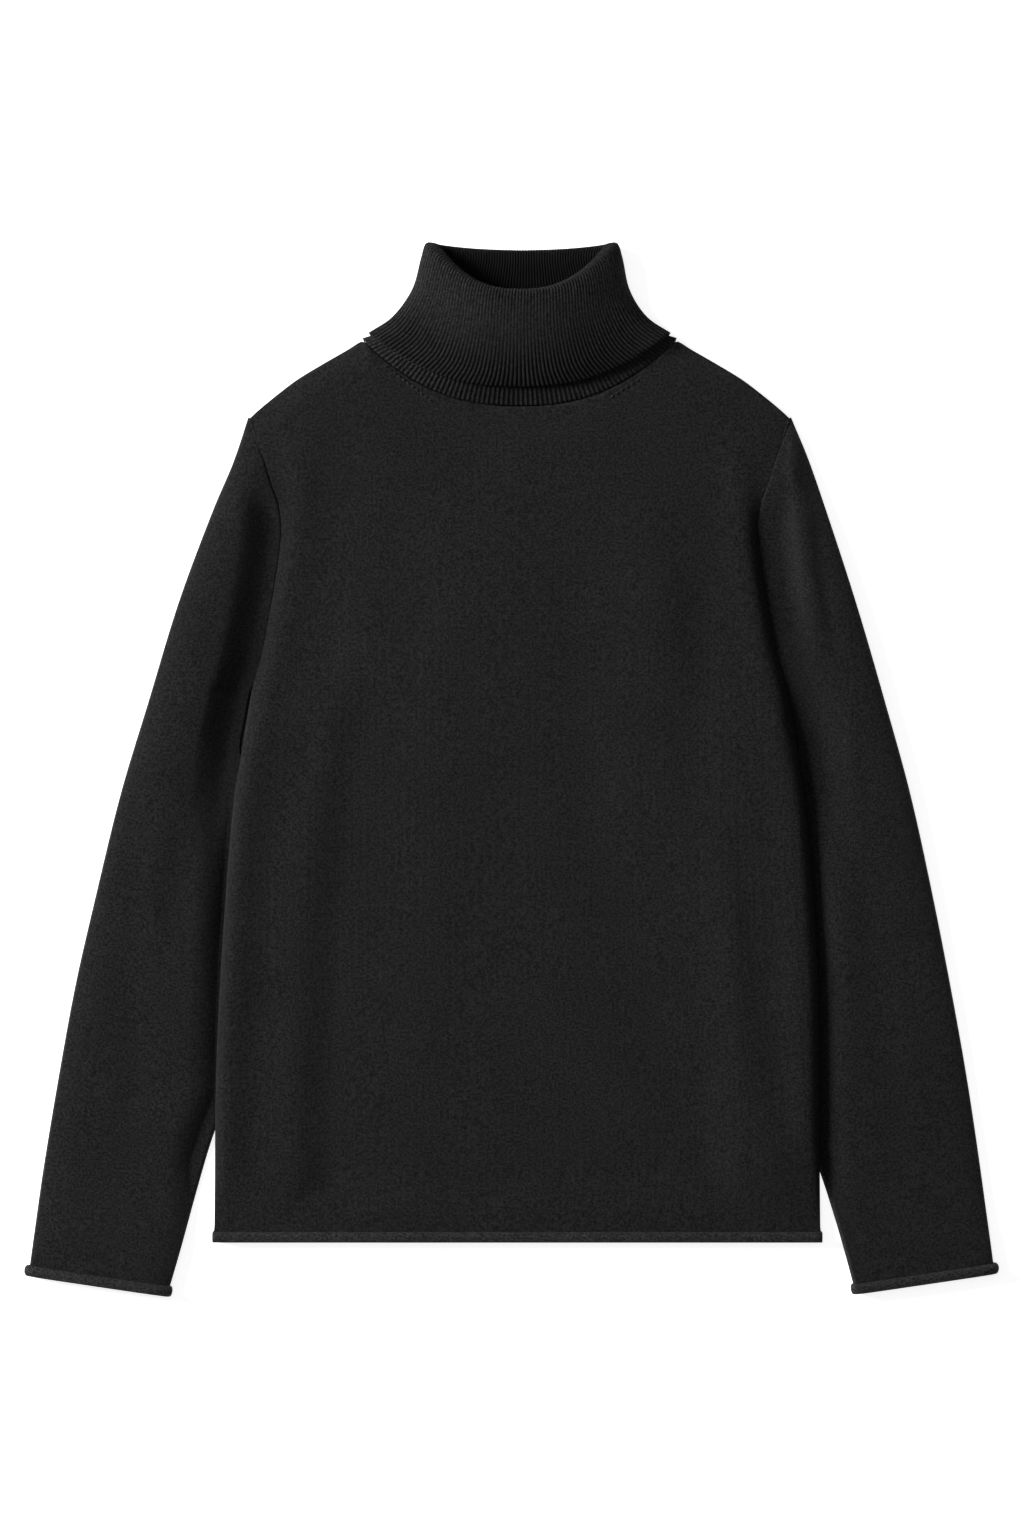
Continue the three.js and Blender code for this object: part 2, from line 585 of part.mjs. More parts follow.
// One sleeve; side is "left" or "right", and sign turns its table values to that side.
function sleeveGeometry(side, sign) {
  const outerX = curve(SLEEVE_OUTER[side], "y", "x");
  const innerX = curve(SLEEVE_INNER[side], "y", "x");
  const loft = curve(SLEEVE_LOFT, "y", side);
  const folds = foldHeight(SLEEVE_FOLDS[side]);
  const lift = (y) => ROLL_LIFT * (1 - smooth((y - CUFF_RAMP.from) / (CUFF_RAMP.to - CUFF_RAMP.from)));

  // Outside of the upper layer: low where the body lies on it, lofted beyond, round outside.
  const upper = (x, y, bottom) => {
    const onArmhole = smooth((y - ARMPIT_Y) / ARMHOLE_BLEND.sleeve + 1);
    const seam = mix(SLEEVE_FLAT, armholeTop(y), onArmhole);
    const low = bottom + seam;
    const fromBody = x - bodyHalf(y) - mix(BODY_CLEARANCE, SEAM_GAP, onArmhole);
    const opened = smooth((y - LOW_STRIP.from) / (LOW_STRIP.full - LOW_STRIP.from));
    const closed = smooth((y - LOW_STRIP.fullTop) / (LOW_STRIP.to - LOW_STRIP.fullTop));
    const strip = LOW_STRIP.width * opened * (1 - closed);
    const fromInner = y > LOW_STRIP.to ? fromBody : Math.min(fromBody, x - innerX(y) - strip);
    const high = bottom * LIFT_SHARE + loft(y) + folds(sign * x, y);
    const lofted = low + Math.max(high - low, 0) * rise(fromInner / SLEEVE_INSIDE_RISE, 1);
    const fromOuter = (outerX(y) - x) * EDGE_LEAN;
    const rounded = rise(fromOuter / SLEEVE_ROUNDING[side], 2);
    const edge = mix(bottom, lofted, 0.5);
    return Math.max(edge + (lofted - edge) * rounded, bottom + LEAST_THICKNESS);
  };

  const rings = SLEEVE_RINGS.map((ring, k) => {
    const inner = { x: innerX(ring.innerY), y: ring.innerY };
    const outer = { x: outerX(ring.outerY), y: ring.outerY };
    const length = Math.hypot(outer.x - inner.x, outer.y - inner.y);
    const leave = clamp01(1 - k / BLEND_RINGS);
    const under = bodyHalf(ring.innerY) + COVERED.past - inner.x;
    const covered = Math.max(under, COVERED.least * length) / (outer.x - inner.x);
    const tuck = Math.min(covered, COVERED.most);
    const visible = VISIBLE_SHARES.map((q) => mix(tuck, 1, q));
    const innerShare = RING_INSET.inner / length;
    const regular = [innerShare, tuck / 2, tuck, ...visible, 1 - RING_INSET.upperOuter / length];
    const regularLow = [1 - RING_INSET.lowerOuter / length, ...LOWER_SHARES, innerShare];
    const place = (share) => {
      const y = mix(inner.y, outer.y, share);
      const seamY = mix(SLEEVE_RINGS[0].innerY, SLEEVE_RINGS[0].outerY, share);
      const chord = mix(innerX(SLEEVE_RINGS[0].innerY), outerX(SLEEVE_RINGS[0].outerY), share);
      const pastTip = Math.max(seamY - SHOULDER_TIP.y, 0);
      const bulge = bodyHalf(seamY) + SEAM_GAP + TIP_FLARE * pastTip - chord;
      return { x: mix(inner.x, outer.x, share) + bulge * leave ** 2, y };
    };
    const seamStart = SLEEVE_RINGS[0].innerY;
    const seamSpan = SLEEVE_RINGS[0].outerY - seamStart;
    const topShares = regular.map((s, j) => {
      const seamShare = ([...ARMHOLE_ROWS].reverse()[j] - seamStart) / seamSpan;
      return mix(s, seamShare, leave ** 2);
    });
    const lowShares = regularLow.map((s, j) => {
      return mix(s, (BACK_ARMHOLE_ROWS[j] - seamStart) / seamSpan, leave ** 2);
    });
    const outside = [];
    const inside = [];
    const inset = EDGE_INSET / length;
    const add = (share, height) => {
      const p = place(share);
      const bottom = lift(p.y);
      outside.push(new THREE.Vector3(sign * p.x, p.y, height(bottom, upper(p.x, p.y, bottom))));
      const q = place(Math.min(Math.max(share, inset), 1 - inset));
      const floor = lift(q.y) + CLOTH;
      const drop = CLOTH * WALL_SLOPE;
      const ceiling = Math.max(upper(q.x, q.y, lift(q.y)) - drop, floor + INSIDE_GAP);
      inside.push(new THREE.Vector3(sign * q.x, q.y, height(floor, ceiling)));
    };
    topShares.forEach((s) => add(s, (bottom, top) => top));
    OUTER_EDGE.forEach((edge) => {
      add(1 - edge.inset / length, (bottom, top) => mix(bottom, top, edge.height));
    });
    lowShares.forEach((s) => add(s, (bottom) => bottom));
    add(0, (bottom, top) => mix(bottom, top, INNER_EDGE_HEIGHT));
    return { outside, inside };
  });
  const outer = rings.map((ring) => ring.outside);
  const inner = rings.map((ring) => ring.inside);
  const normals = gridNormals(outer, true, -sign);
  const low = SLEEVE_RINGS.at(-1);
  const width = outerX(low.outerY) - innerX(low.innerY);
  const onward = new THREE.Vector3(sign * (low.outerY - low.innerY), -width, 0).normalize();
  const curl = curlRows(outer.at(-1), normals.at(-1), onward);
  return wall([...outer, ...curl.outer], [...inner, ...curl.inner], true);
}

// Angles that cut one ring into stretches of equal length.
function evenAngles(ring, count) {
  const fine = 4000;
  const run = [0];
  for (let i = 1; i <= fine; i++) {
    const a = collarPoint(ring, (2 * Math.PI * (i - 1)) / fine);
    run.push(run[i - 1] + a.distanceTo(collarPoint(ring, (2 * Math.PI * i) / fine)));
  }
  const angles = [];
  for (let c = 0, i = 0; c < count; c++) {
    while (run[i + 1] < (run[fine] * c) / count) i++;
    const part = ((run[fine] * c) / count - run[i]) / (run[i + 1] - run[i]);
    angles.push((2 * Math.PI * (i + part)) / fine);
  }
  return angles;
}

// The face that shows is ribbed: the inside of the stand from its middle up, the whole
// outside of the fall, and the strip of the stand that stands out below the fall.
function collarGeometry() {
  const angles = evenAngles(COLLAR.at(-3), 2 * RIBS);
  const middle = COLLAR.map((ring) => angles.map((angle) => collarPoint(ring, angle)));
  const normals = gridNormals(middle, true, -1);
  const step = 2 * RIBS_PER_PLAIN_COLUMN;
  const face = (row, r, side, ribbed) => {
    const points = row.map((p, c) => {
      const n = normals[r][c];
      const underside = smooth((-n.z * side - RIB_FADE.from) / RIB_FADE.over);
      const relief = (c % 2 ? -RIB_RELIEF : RIB_RELIEF) * (1 - underside);
      return p.clone().addScaledVector(n, side * (RIB_CLOTH / 2 + (ribbed ? relief : 0)));
    });
    return ribbed ? points : points.filter((_, c) => c % step === 0);
  };
  const shown = middle.map((row, r) => face(row, r, 1, r >= STAND_MIDDLE));
  const hidden = middle.map((row, r) => face(row, r, -1, r < STAND_MIDDLE));
  return wall(shown, hidden, true);
}

function piece(name, geometry, color) {
  const material = new THREE.MeshStandardMaterial({ color, roughness: 0.95, metalness: 0 });
  const mesh = new THREE.Mesh(geometry, material);
  mesh.name = name;
  return mesh;
}

const sweater = new THREE.Group();
sweater.add(
  piece("back", backGeometry(), 0x202021),
  piece("front", frontGeometry(), 0x232324),
  piece("sleeve_left", sleeveGeometry("left", -1), 0x222223),
  piece("sleeve_right", sleeveGeometry("right", 1), 0x222223),
  piece("collar", collarGeometry(), 0x1f1f20),
);

// The origin is the middle of the footprint, on the surface the sweater lies on.
const box = new THREE.Box3().setFromObject(sweater);
const centre = box.getCenter(new THREE.Vector3());
sweater.position.set(-centre.x, -centre.y, -box.min.z);

export default sweater;
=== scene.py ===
"""Looks of a black turtleneck sweater that lies on its back, arms straight down.

Every panel is a wall of cloth worked out in millimetres of the garment: x runs to the right
from its middle, y up from the hem, z up from the surface. The same tables give the CAD solids.
"""

import math

import bpy
import numpy as np
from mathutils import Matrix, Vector


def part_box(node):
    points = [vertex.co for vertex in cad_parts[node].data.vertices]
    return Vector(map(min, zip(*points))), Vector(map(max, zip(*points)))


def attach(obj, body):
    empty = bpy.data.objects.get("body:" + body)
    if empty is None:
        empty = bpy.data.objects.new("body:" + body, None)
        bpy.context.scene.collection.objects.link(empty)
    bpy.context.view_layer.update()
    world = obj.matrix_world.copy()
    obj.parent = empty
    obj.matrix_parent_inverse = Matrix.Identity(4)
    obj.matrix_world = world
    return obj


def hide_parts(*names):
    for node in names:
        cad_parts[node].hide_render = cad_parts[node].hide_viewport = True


bl_info = {
    "name": "Turtleneck sweater",
    "version": (1, 0, 0),
    "blender": (4, 5, 0),
    "location": "3D View > Sidebar > Sweater",
    "description": "Builds a laid black turtleneck sweater piece by piece",
    "category": "Add Mesh",
}

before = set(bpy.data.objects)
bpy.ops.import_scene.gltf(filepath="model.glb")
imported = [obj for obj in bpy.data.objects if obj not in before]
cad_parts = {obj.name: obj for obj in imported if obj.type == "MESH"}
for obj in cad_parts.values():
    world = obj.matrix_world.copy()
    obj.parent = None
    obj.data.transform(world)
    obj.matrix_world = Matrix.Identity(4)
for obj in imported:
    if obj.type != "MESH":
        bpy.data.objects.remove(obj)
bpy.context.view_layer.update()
BACK_LOW, BACK_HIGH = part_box("back")
MIDDLE_X = (BACK_LOW.x + BACK_HIGH.x) / 2
HEM_Y = BACK_LOW.y
MM = 0.001

# Cloth, its curling edges and the levels of the laid layers
CLOTH = 1.8
RIB_CLOTH = 1.9
SEAM_GAP = 0.3
LINKING_GAP = 0.9
ROLL_RADIUS = 2.85
ROLL_TURN = math.radians(275)
ROLL_STEPS = 20
SIDE_CURL = 0.4
ROLL_OUTER = ROLL_RADIUS + CLOTH / 2
ROLL_LIFT = 2 * ROLL_OUTER - CLOTH
SLEEVE_FLAT = 4.4
TUCK_LIFT = SLEEVE_FLAT + 0.8
BODY_LOFT = 9.5
HEM_LOFT = 2 * CLOTH + 0.5
SHOULDER_LEVEL = 2 * CLOTH + SEAM_GAP
TOP_SLOPE = 26.0

ARMPIT_Y = 390.0
SHOULDER_TIP = (189.0, 577.0)
NECK_POWER = 2.4
TUCK_STRIP = 50.0
TUCK_RAMP = 16.0


def clamp01(t):
    """t held between 0 and 1."""
    return np.clip(t, 0.0, 1.0)


def smooth(t):
    """An s-shaped step: three t squared less two t cubed, level outside 0 to 1."""
    t = clamp01(t)
    return t * t * (3 - 2 * t)


def step(v, start, end):
    """An s-shaped step along v: 0 up to start, 1 past end. End may lie before start."""
    return smooth((v - start) / (end - start))


def mix(a, b, t):
    """The value that lies the share t of the way from a to b."""
    return a + (b - a) * t


def rise(t, power):
    """How a surface rises from an edge: one less the square of what is left, to one over the
    power. Power 2 starts upright as a quarter circle does, power 1 starts as a slope."""
    return (1 - (1 - clamp01(t)) ** 2) ** (1 / power)


def curve(rows, column=1):
    """A smooth function through a table of rows, from their first value to the one in column.
    Between two rows it is a cubic, whose slope at a row is the harmonic mean of the slopes on
    both sides of it, or 0 at a peak. It is level past both ends."""
    table = np.array(sorted((row[0], row[column]) for row in rows), float)
    at, value = table[:, 0], table[:, 1]
    slope = np.diff(value) / np.diff(at)
    product = slope[:-1] * slope[1:]
    total = np.where(product > 0, slope[:-1] + slope[1:], 1.0)
    inner = np.where(product > 0, 2 * product / total, 0.0)
    tangent = np.concatenate([slope[:1], inner, slope[-1:]])

    def smooth_value(v):
        v = np.clip(v, at[0], at[-1])
        i = np.clip(np.searchsorted(at, v, side="right") - 1, 0, len(at) - 2)
        span = at[i + 1] - at[i]
        t = (v - at[i]) / span
        ends = (1 + 2 * t) * (1 - t) ** 2 * value[i] + t * t * (3 - 2 * t) * value[i + 1]
        lean = t * (1 - t) ** 2 * tangent[i] - t * t * (1 - t) * tangent[i + 1]
        return ends + lean * span

    return smooth_value


# Half the body's width at each height above the hem
body_half = curve([
    (0, 214), (12, 212), (100, 211.5), (170, 210), (240, 206), (310, 200), (338, 195.5),
    (380, 189), (415, 180), (450, 173.5), (478, 169), (500, 166.8), (516, 168.5),
    (531, 173.5), (547, 178.5), (562, 184), (577, 189),
])
# The shoulder line, from the neck point out to the tip
shoulder_line = curve([
    (109, 631.6), (112.4, 630.2), (119, 626), (138, 615), (156, 604), (170.5, 593),
    (184, 581.7), (189, 577),
])
# Height of the armhole's seam on the upper layer
armhole_top = curve([
    (390, 4.6), (410, 4.4), (443, 4.2), (481, 4.4), (505, 5.6), (522, 8), (540, 9.8), (560, 8.6),
    (577, 4.9),
])

# Long soft folds: height above the loft, width, and the path as points of (y, x)
BODY_FOLDS = [
    (2.6, 12, [(536, -153), (338, -187), (240, -197), (65, -202)]),
    (-1.5, 16, [(490, -131), (422, -136), (338, -154), (254, -173), (72, -184)]),
    (-0.6, 16, [(200, -137), (128, -136), (50, -134)]),
    (1.5, 36, [(500, -33), (380, -42), (240, -56), (100, -66), (20, -82)]),
    (-1.7, 22, [(440, 37), (366, 42), (240, 66), (100, 108), (16, 147)]),
    (1.6, 20, [(490, 94), (380, 98), (240, 126), (100, 171), (30, 190)]),
    (-1.5, 15, [(440, 125), (338, 134), (240, 162), (100, 185), (50, 197)]),
    (2.6, 12, [(536, 153), (478, 157), (380, 175), (275, 192), (90, 200)]),
]
SLEEVE_FOLDS = {
    "left": [
        (-2.5, 13, [(475, -191), (395, -205), (357, -217), (240, -241)]),
        (-1.4, 13, [(300, -265), (240, -274), (110, -270)]),
    ],
    "right": [
        (2.5, 8, [(565, 191), (500, 196), (440, 205)]),
        (1.6, 3, [(560, 190), (520, 192), (475, 196)]),
        (-2.5, 9, [(530, 205), (457, 212), (370, 222)]),
        (-1.2, 14, [(330, 232), (220, 246), (90, 262)]),
    ],
}
FOLD_FADE = 45.0
# Unevenness of the laid cloth: seed and height of its waves, and how much of the folds is
# left at the hem
BODY_RIPPLE = (3, 0.4)
SLEEVE_RIPPLE = (8, 0.35)
HEM_FOLDS = 0.35
RIPPLE_LENGTHS = (30, 120)
RIPPLE_WAVES = 14
RIPPLE_STRETCH = 0.45

# Stretches along the garment, from where a form begins to where it is complete, as heights
# above the hem: the back's and the front's step over the tucked sleeves, the same over the
# hem's roll, the front's full loft, its rounded side, its armhole and its bent rows
BACK_TUCK = (362.0, 345.0)
FRONT_TUCK = (410.0, 354.0)
BACK_ROLL = (45.0, 8.0)
FRONT_ROLL = (53.0, 16.0)
BODY_RISE = (6.0, 66.0)
SIDE_WIDENS = (300.0, 450.0)
BODY_ARMHOLE = (ARMPIT_Y - 12, ARMPIT_Y)
ROWS_BEND = (400.0, SHOULDER_TIP[1])
# The front's step over a tucked sleeve, as distances in from the body's side
FRONT_TUCK_ACROSS = (TUCK_STRIP + 35, TUCK_STRIP + 3)
# Width beside the shoulder tip where the shoulder joins the sleeve's level
TIP_BLEND = 24.0
# The body's lower part lies this far from the middle, all of it below the second height
SWAY = -1.6
SWAY_SPAN = (210.0, 80.0)

# The purl side that a roll turns out, paler and also painted with the highlight that the rounded
# roll catches: how much paler it is, over how many rows the tone changes, and the heights and
# rates of its patches along the edge
ROLL_PALENESS_AND_HIGHLIGHT = 0.9
PALE_ROWS = 4
PATCH_HEIGHTS = (0.16, 0.1)
PATCH_RATES = (0.9, 0.37, 1.7)
# A hem carries on straight down, and its roll is drawn in to this share over its last
# millimetres at both ends
HEM_ONWARD = np.array([0, -1.0, 0])
HEM_END_FULLNESS = 0.5
HEM_END = 5.0

# Grids of the panels: edges of the stretches and number of rows or columns in each. Rows are
# heights above the hem at the sides, columns are shares of half the width
FRONT_ROWS = ([SHOULDER_TIP[1], ARMPIT_Y, 68, ROLL_OUTER], [70, 112, 26])
FRONT_COLUMNS = ([0, 0.9, 0.985, 1], [66, 14, 7])
BACK_ROWS = ([SHOULDER_TIP[1], *BACK_TUCK, 68, ROLL_OUTER], [54, 6, 70, 24])
BACK_COLUMNS = ([0, 0.68, 0.78, 1], [36, 12, 14])

# The sleeves' outlines, as points of (y, distance from the body's middle)
outer_edge = {
    "left": curve([
        (578, 189.3), (548, 199.5), (514, 214), (447, 239.2), (380, 259.6), (313, 279.8),
        (246, 296.2), (178, 311.7), (111, 323.9), (44, 334.9), (-17, 343.4),
    ]),
    "right": curve([
        (578, 189.3), (548, 202), (514, 214), (447, 236), (380, 255.6), (313, 274),
        (246, 288.8), (178, 302.2), (111, 314.1), (44, 324), (-17, 332.1),
    ]),
}
inner_edge = {
    "left": curve([
        (388, 189), (365, 191.9), (345, 195), (325, 188), (300, 176), (270, 168), (240, 166),
        (200, 170), (160, 180), (120, 197), (72, 215.6), (30, 228), (2, 236), (-30, 245.3),
    ]),
    "right": curve([
        (388, 189), (365, 191.9), (345, 195), (325, 188), (300, 176), (270, 168), (240, 166),
        (200, 169), (160, 176), (120, 188), (72, 202.5), (33, 215.8), (2, 225.3), (-30, 234),
    ]),
}
# Rings of a sleeve: where each one crosses the outer and the inner edge
SLEEVE_RINGS = np.array([
    (578, 388), (540, 386), (500, 381), (460, 373), (424, 361), (392, 343), (362, 322),
    (328, 294), (292, 262), (254, 227), (215, 191), (176, 155), (137, 118), (98, 81),
    (62, 46), (30, 14), (6, -9), (-17, -31.5),
], float)
BLEND_RINGS = 4
# How much further down than the solid each cuff hangs
CUFF_DROP = {"left": 2.7, "right": 1.1}
SLEEVE_LOFT = [
    (579, 5, 5), (560, 9.5, 9.5), (535, 14, 13), (500, 18, 16), (400, 19.5, 17), (300, 17, 15),
    (200, 13.5, 12), (100, 11.5, 10.5), (30, 10.5, 10), (-17, 11, 11),
]
sleeve_loft = {"left": curve(SLEEVE_LOFT, 1), "right": curve(SLEEVE_LOFT, 2)}
# Rows of fashioning marks beside the neck on the front, from end to end: their distance
# apart, radius, tone, points along each, the thread's share of the radius between them, and
# how far round each point the front's height is looked up
MARK_ROWS = {"left": [(-95, 614), (-61, 588)], "right": [(63, 591), (84, 604)]}
MARK_PITCH = 3.8
MARK_RADIUS = 0.9
MARK_TONE = 1.7
MARK_STEPS = 12
THREAD_SHARE = 0.08
MARK_REACH = 2.5
SLEEVE_ROUNDING = {"left": 24.0, "right": 16.0}
# Width of the body's rounded side: low down, and at the left and right armhole
SIDE_ROUNDING = (9.0, 26.0, 14.0)
# Width of the low floor of the valley between the body and each sleeve
VALLEY = {"left": 6.0, "right": 13.0}
# Widths of a sleeve's rise from its inner edge: steep beside the body, gentle lower down
STEEP_RISE = 24.0
GENTLE_RISE = 20.0
# Heights where the steep rise begins and is complete, coming up and going down the sleeve
STEEP_UPWARD = (220.0, 350.0)
STEEP_DOWNWARD = (548.0, 508.0)
# Width of the low strip along the inner edge, and the heights where it opens and closes
INNER_STRIP = 10.5
STRIP_OPENS = (20.0, 60.0)
STRIP_CLOSES = (330.0, 290.0)
# The sleeve's level joins the armhole's over these heights, and its loft keeps this clear of
# the body's side below and beside the armhole
SLEEVE_ARMHOLE = (ARMPIT_Y - 38, ARMPIT_Y)
LOFT_CLEARANCE = (2.5, 0.3)
ARMHOLE_FOOT = SLEEVE_RINGS[0, 1]
# Slant of the outer edge to the rows, the least thickness at it, and the share of a cuff's
# lift that its top keeps
EDGE_SLANT = 0.96
EDGE_SHARE = 0.9
CUFF_LIFT_KEPT = 0.4
CUFF_LIFT_SPAN = (34.0, -8.0)
CUFF_DROP_SPAN = (40.0, -10.0)
# Points of a ring: insets in mm of the first point and of the last ones above and below,
# shares of the width where the upper layer shows and where the lower one runs, and the
# outer edge's points as inset in mm and share of the way up
INNER_INSET = 2.2
OUTER_INSETS = (1.2, 2.4)
VISIBLE_SHARES = np.array([0.06, 0.14, 0.24, 0.36, 0.49, 0.62, 0.74, 0.84, 0.92])
LOWER_SHARES = (0.75, 0.5, 0.25)
OUTER_POINTS = ((0, 0.55), (0.35, 0.36), (0.7, 0.2))
INNER_EDGE_HEIGHT = 0.5
RING_STEPS = 12
UPPER_STEPS = 7
LOWER_STEPS = 6
# The part of a ring under the body: how far past the body's side it reaches, and its least
# and greatest share of the width
TUCK_REACH = 1.5
LEAST_TUCK = 0.09
MOST_TUCK = 0.4
# Flare of the ring past the shoulder tip
TIP_FLARE = 0.9
# Inner skin: inset at both edges, thickness of the upper wall, least room between the walls
SKIN_INSET = 2.1
UPPER_WALL = CLOTH * 1.12
LEAST_ROOM = 0.4
# Steepness of a cuff's wall at which its roll is full
FULL_CURL = 0.8
ARMHOLE_ROWS = np.array([390, 398, 410, 425, 443, 462, 481, 500, 516, 531, 547, 562, 577.0])
BACK_ARMHOLE_ROWS = np.array([577, 531, 481, 425, 390.0])

# The collar's rings from the seam up the stand, over the crest and down the fall: path
# position, half width, y of side, front and back, their heights, width of the side's turn
COLLAR = [
    (0, 109.6, 631.9, 586, 618.8, 7.6, 4.6, 1.2, 6),
    (1, 99, 635.2, 600, 627, 9.6, 7, 4.2, 5.3),
    (2, 76.5, 651, 627, 653, 18, 8.7, 4.7, 5.6),
    (3, 58, 690, 660.5, 689.5, 27.5, 10.2, 4.7, 5.6),
    (3.35, 59.8, 697.6, 664, 693.8, 29.5, 10.2, 4.5, 6.2),
    (3.65, 65.6, 698.6, 664.3, 693.8, 32, 9.9, 1.5, 7.8),
    (4, 69, 690, 660.5, 690, 33, 9.7, 1.2, 8.5),
    (5, 74.2, 669, 636, 664, 29.5, 9.2, 1.2, 8.8),
    (6, 88.2, 646.8, 610, 640, 22.5, 8.2, 1.2, 9),
    (7, 105, 635.4, 599.5, 630.5, 13.6, 7.8, 1.2, 10),
]
COLLAR_COLUMNS = ("half", "side_y", "front_y", "back_y", "front_z", "side_z", "back_z", "turn")
collar_ring = {name: curve(COLLAR, k + 1) for k, name in enumerate(COLLAR_COLUMNS)}
# The folded collar leans a little to the right above the shoulders
COLLAR_LEAN = 1.5
# Painted light on the strip below the fall, which lies in the fall's shadow: how much paler it
# is painted at both sides than in the middle
STRIP_PAINTED_LIGHT = 1.1
LEAN_SPAN = (640.0, 690.0)
# Rows along the collar's path: edges of the stretches and number of rows in each
COLLAR_ROWS = ([0, 1, 2.8, 4.2, 7], [7, 11, 17, 20])
# Ribs: points across each, path position where they are evenly spaced, the power that rounds
# them, and the relief below which a groove gets painted shade
RIB_POINTS = 6
EVEN_RIBS_AT = 5.0
RIB_ROUNDING = 0.8
GROOVE_EDGE = 0.5
ANGLE_SAMPLES = 4001
# Ribs fade where the cloth faces down this much and lies below this level
FACES_DOWN = (0.5, 0.9)
LYING_BELOW = 4.0
# The strip below the fall ends over these path positions
STRIP_END = (1.5, 1.1)

# Armhole seam: its lowest point, number of points, the heights over which it dives between
# the body's side and the tucked sleeve, its level there and its radius
SEAM_FOOT = 330.0
SEAM_POINTS = 260
SEAM_DIVE = (ARMPIT_Y + 4, ARMPIT_Y - 10)
DIVED_LEVEL = 2.4
SEAM_RADIUS = 0.85
# Cords: sides of the round, and how much and how fast the radius swells with the stitches
CORD_SIDES = 10
STITCH_SWELL = 0.12
STITCH_RATE = 2.1

# How strongly the ribs stand out along the collar's path
rib_strength = curve([
    (0, 1.0), (1, 0.9), (3, 0.8), (3.7, 0.8), (4.3, 0.5), (5, 0.3), (5.5, 0.6), (6.0, 1.1),
    (7, 1.17),
])
# Painted shade and highlight along the collar's path: painted shade inside the fold, where
# little light reaches, and a painted highlight over the crest, where its fuzz catches the light
painted_collar_shading = curve([
    (0.95, 1.0), (1.6, 0.1), (2.6, 0.12), (3.1, 0.4), (3.5, 1.0), (3.8, 1.3), (4.3, 1.15),
    (5, 1.0), (7, 1.0),
])


def fold_height(folds, x, y):
    """Sum of soft folds: each is its height times a bell curve of the distance from its path,
    let down smoothly over a short stretch past both ends of the path."""
    total = np.zeros(np.broadcast(x, y).shape)
    for height, width, path in folds:
        ends = [point[0] for point in path]
        above = smooth((max(ends) + FOLD_FADE - y) / FOLD_FADE)
        below = smooth((y - min(ends) + FOLD_FADE) / FOLD_FADE)
        total += height * above * below * np.exp(-(((x - curve(path)(y)) / width) ** 2))
    return total


def ripple(x, y, seed, height):
    """Slight unevenness of hand-laid cloth: a third of the sum of sine waves of many
    directions and lengths, the long ones higher, drawn out along the garment."""
    random = np.random.default_rng(seed)
    length = random.uniform(*RIPPLE_LENGTHS, RIPPLE_WAVES)
    angle = random.uniform(0, math.pi, RIPPLE_WAVES)
    phase = random.uniform(0, 2 * math.pi, RIPPLE_WAVES)
    total = np.zeros(np.broadcast(x, y).shape)
    for l, a, p in zip(length, angle, phase):
        along = x * math.cos(a) + RIPPLE_STRETCH * y * math.sin(a)
        total += np.sin(2 * math.pi * along / l + p) * l / RIPPLE_LENGTHS[1]
    return height * total / 3


def neckline(x, neck_y):
    """Top edge of a panel under the collar: it rises from the middle by a power of the share
    across, and stays one linking gap below the collar's seam."""
    seam = COLLAR[0]
    share = clamp01(np.abs(x) / seam[1]) ** NECK_POWER
    return mix(neck_y, seam[2], share) - LINKING_GAP


def top_edge(x, neck_y):
    """Neckline in the middle, shoulder line beyond it: the lower of the two."""
    return np.minimum(neckline(x, neck_y), shoulder_line(np.abs(x)))


def back_lift(from_edge, y):
    """Height of the back's underside: lifted over the tucked sleeve and over the hem's roll."""
    across = clamp01((TUCK_STRIP + TUCK_RAMP - from_edge) / TUCK_RAMP)
    along = clamp01((BACK_TUCK[0] - y) / (BACK_TUCK[0] - BACK_TUCK[1]))
    hem = step(y, *BACK_ROLL)
    return np.maximum(TUCK_LIFT * across * along, ROLL_LIFT * hem)


def front_lift(from_edge, y):
    """The same steps as the back's, begun further off and made soft."""
    across = step(from_edge, *FRONT_TUCK_ACROSS)
    along = step(y, *FRONT_TUCK)
    hem = step(y, *FRONT_ROLL)
    return np.maximum(TUCK_LIFT * across * along, ROLL_LIFT * hem)


def collar_z(path, across, front):
    """Height of the collar's ring at a path position, where it is so far across: a rounded
    turn at each side, then a low dome on the front and a level stretch on the back."""
    ring = {name: value(path) for name, value in collar_ring.items()}
    radius = ring["side_z"] - ring["back_z"]
    inward = (1 - np.minimum(across, 1)) * ring["half"]
    turned = radius * rise(inward / ring["turn"], 2)
    dome = (ring["front_z"] - ring["side_z"] - radius) * (1 - across**NECK_POWER)
    return np.where(front, ring["side_z"] + turned + dome, ring["side_z"] - turned)


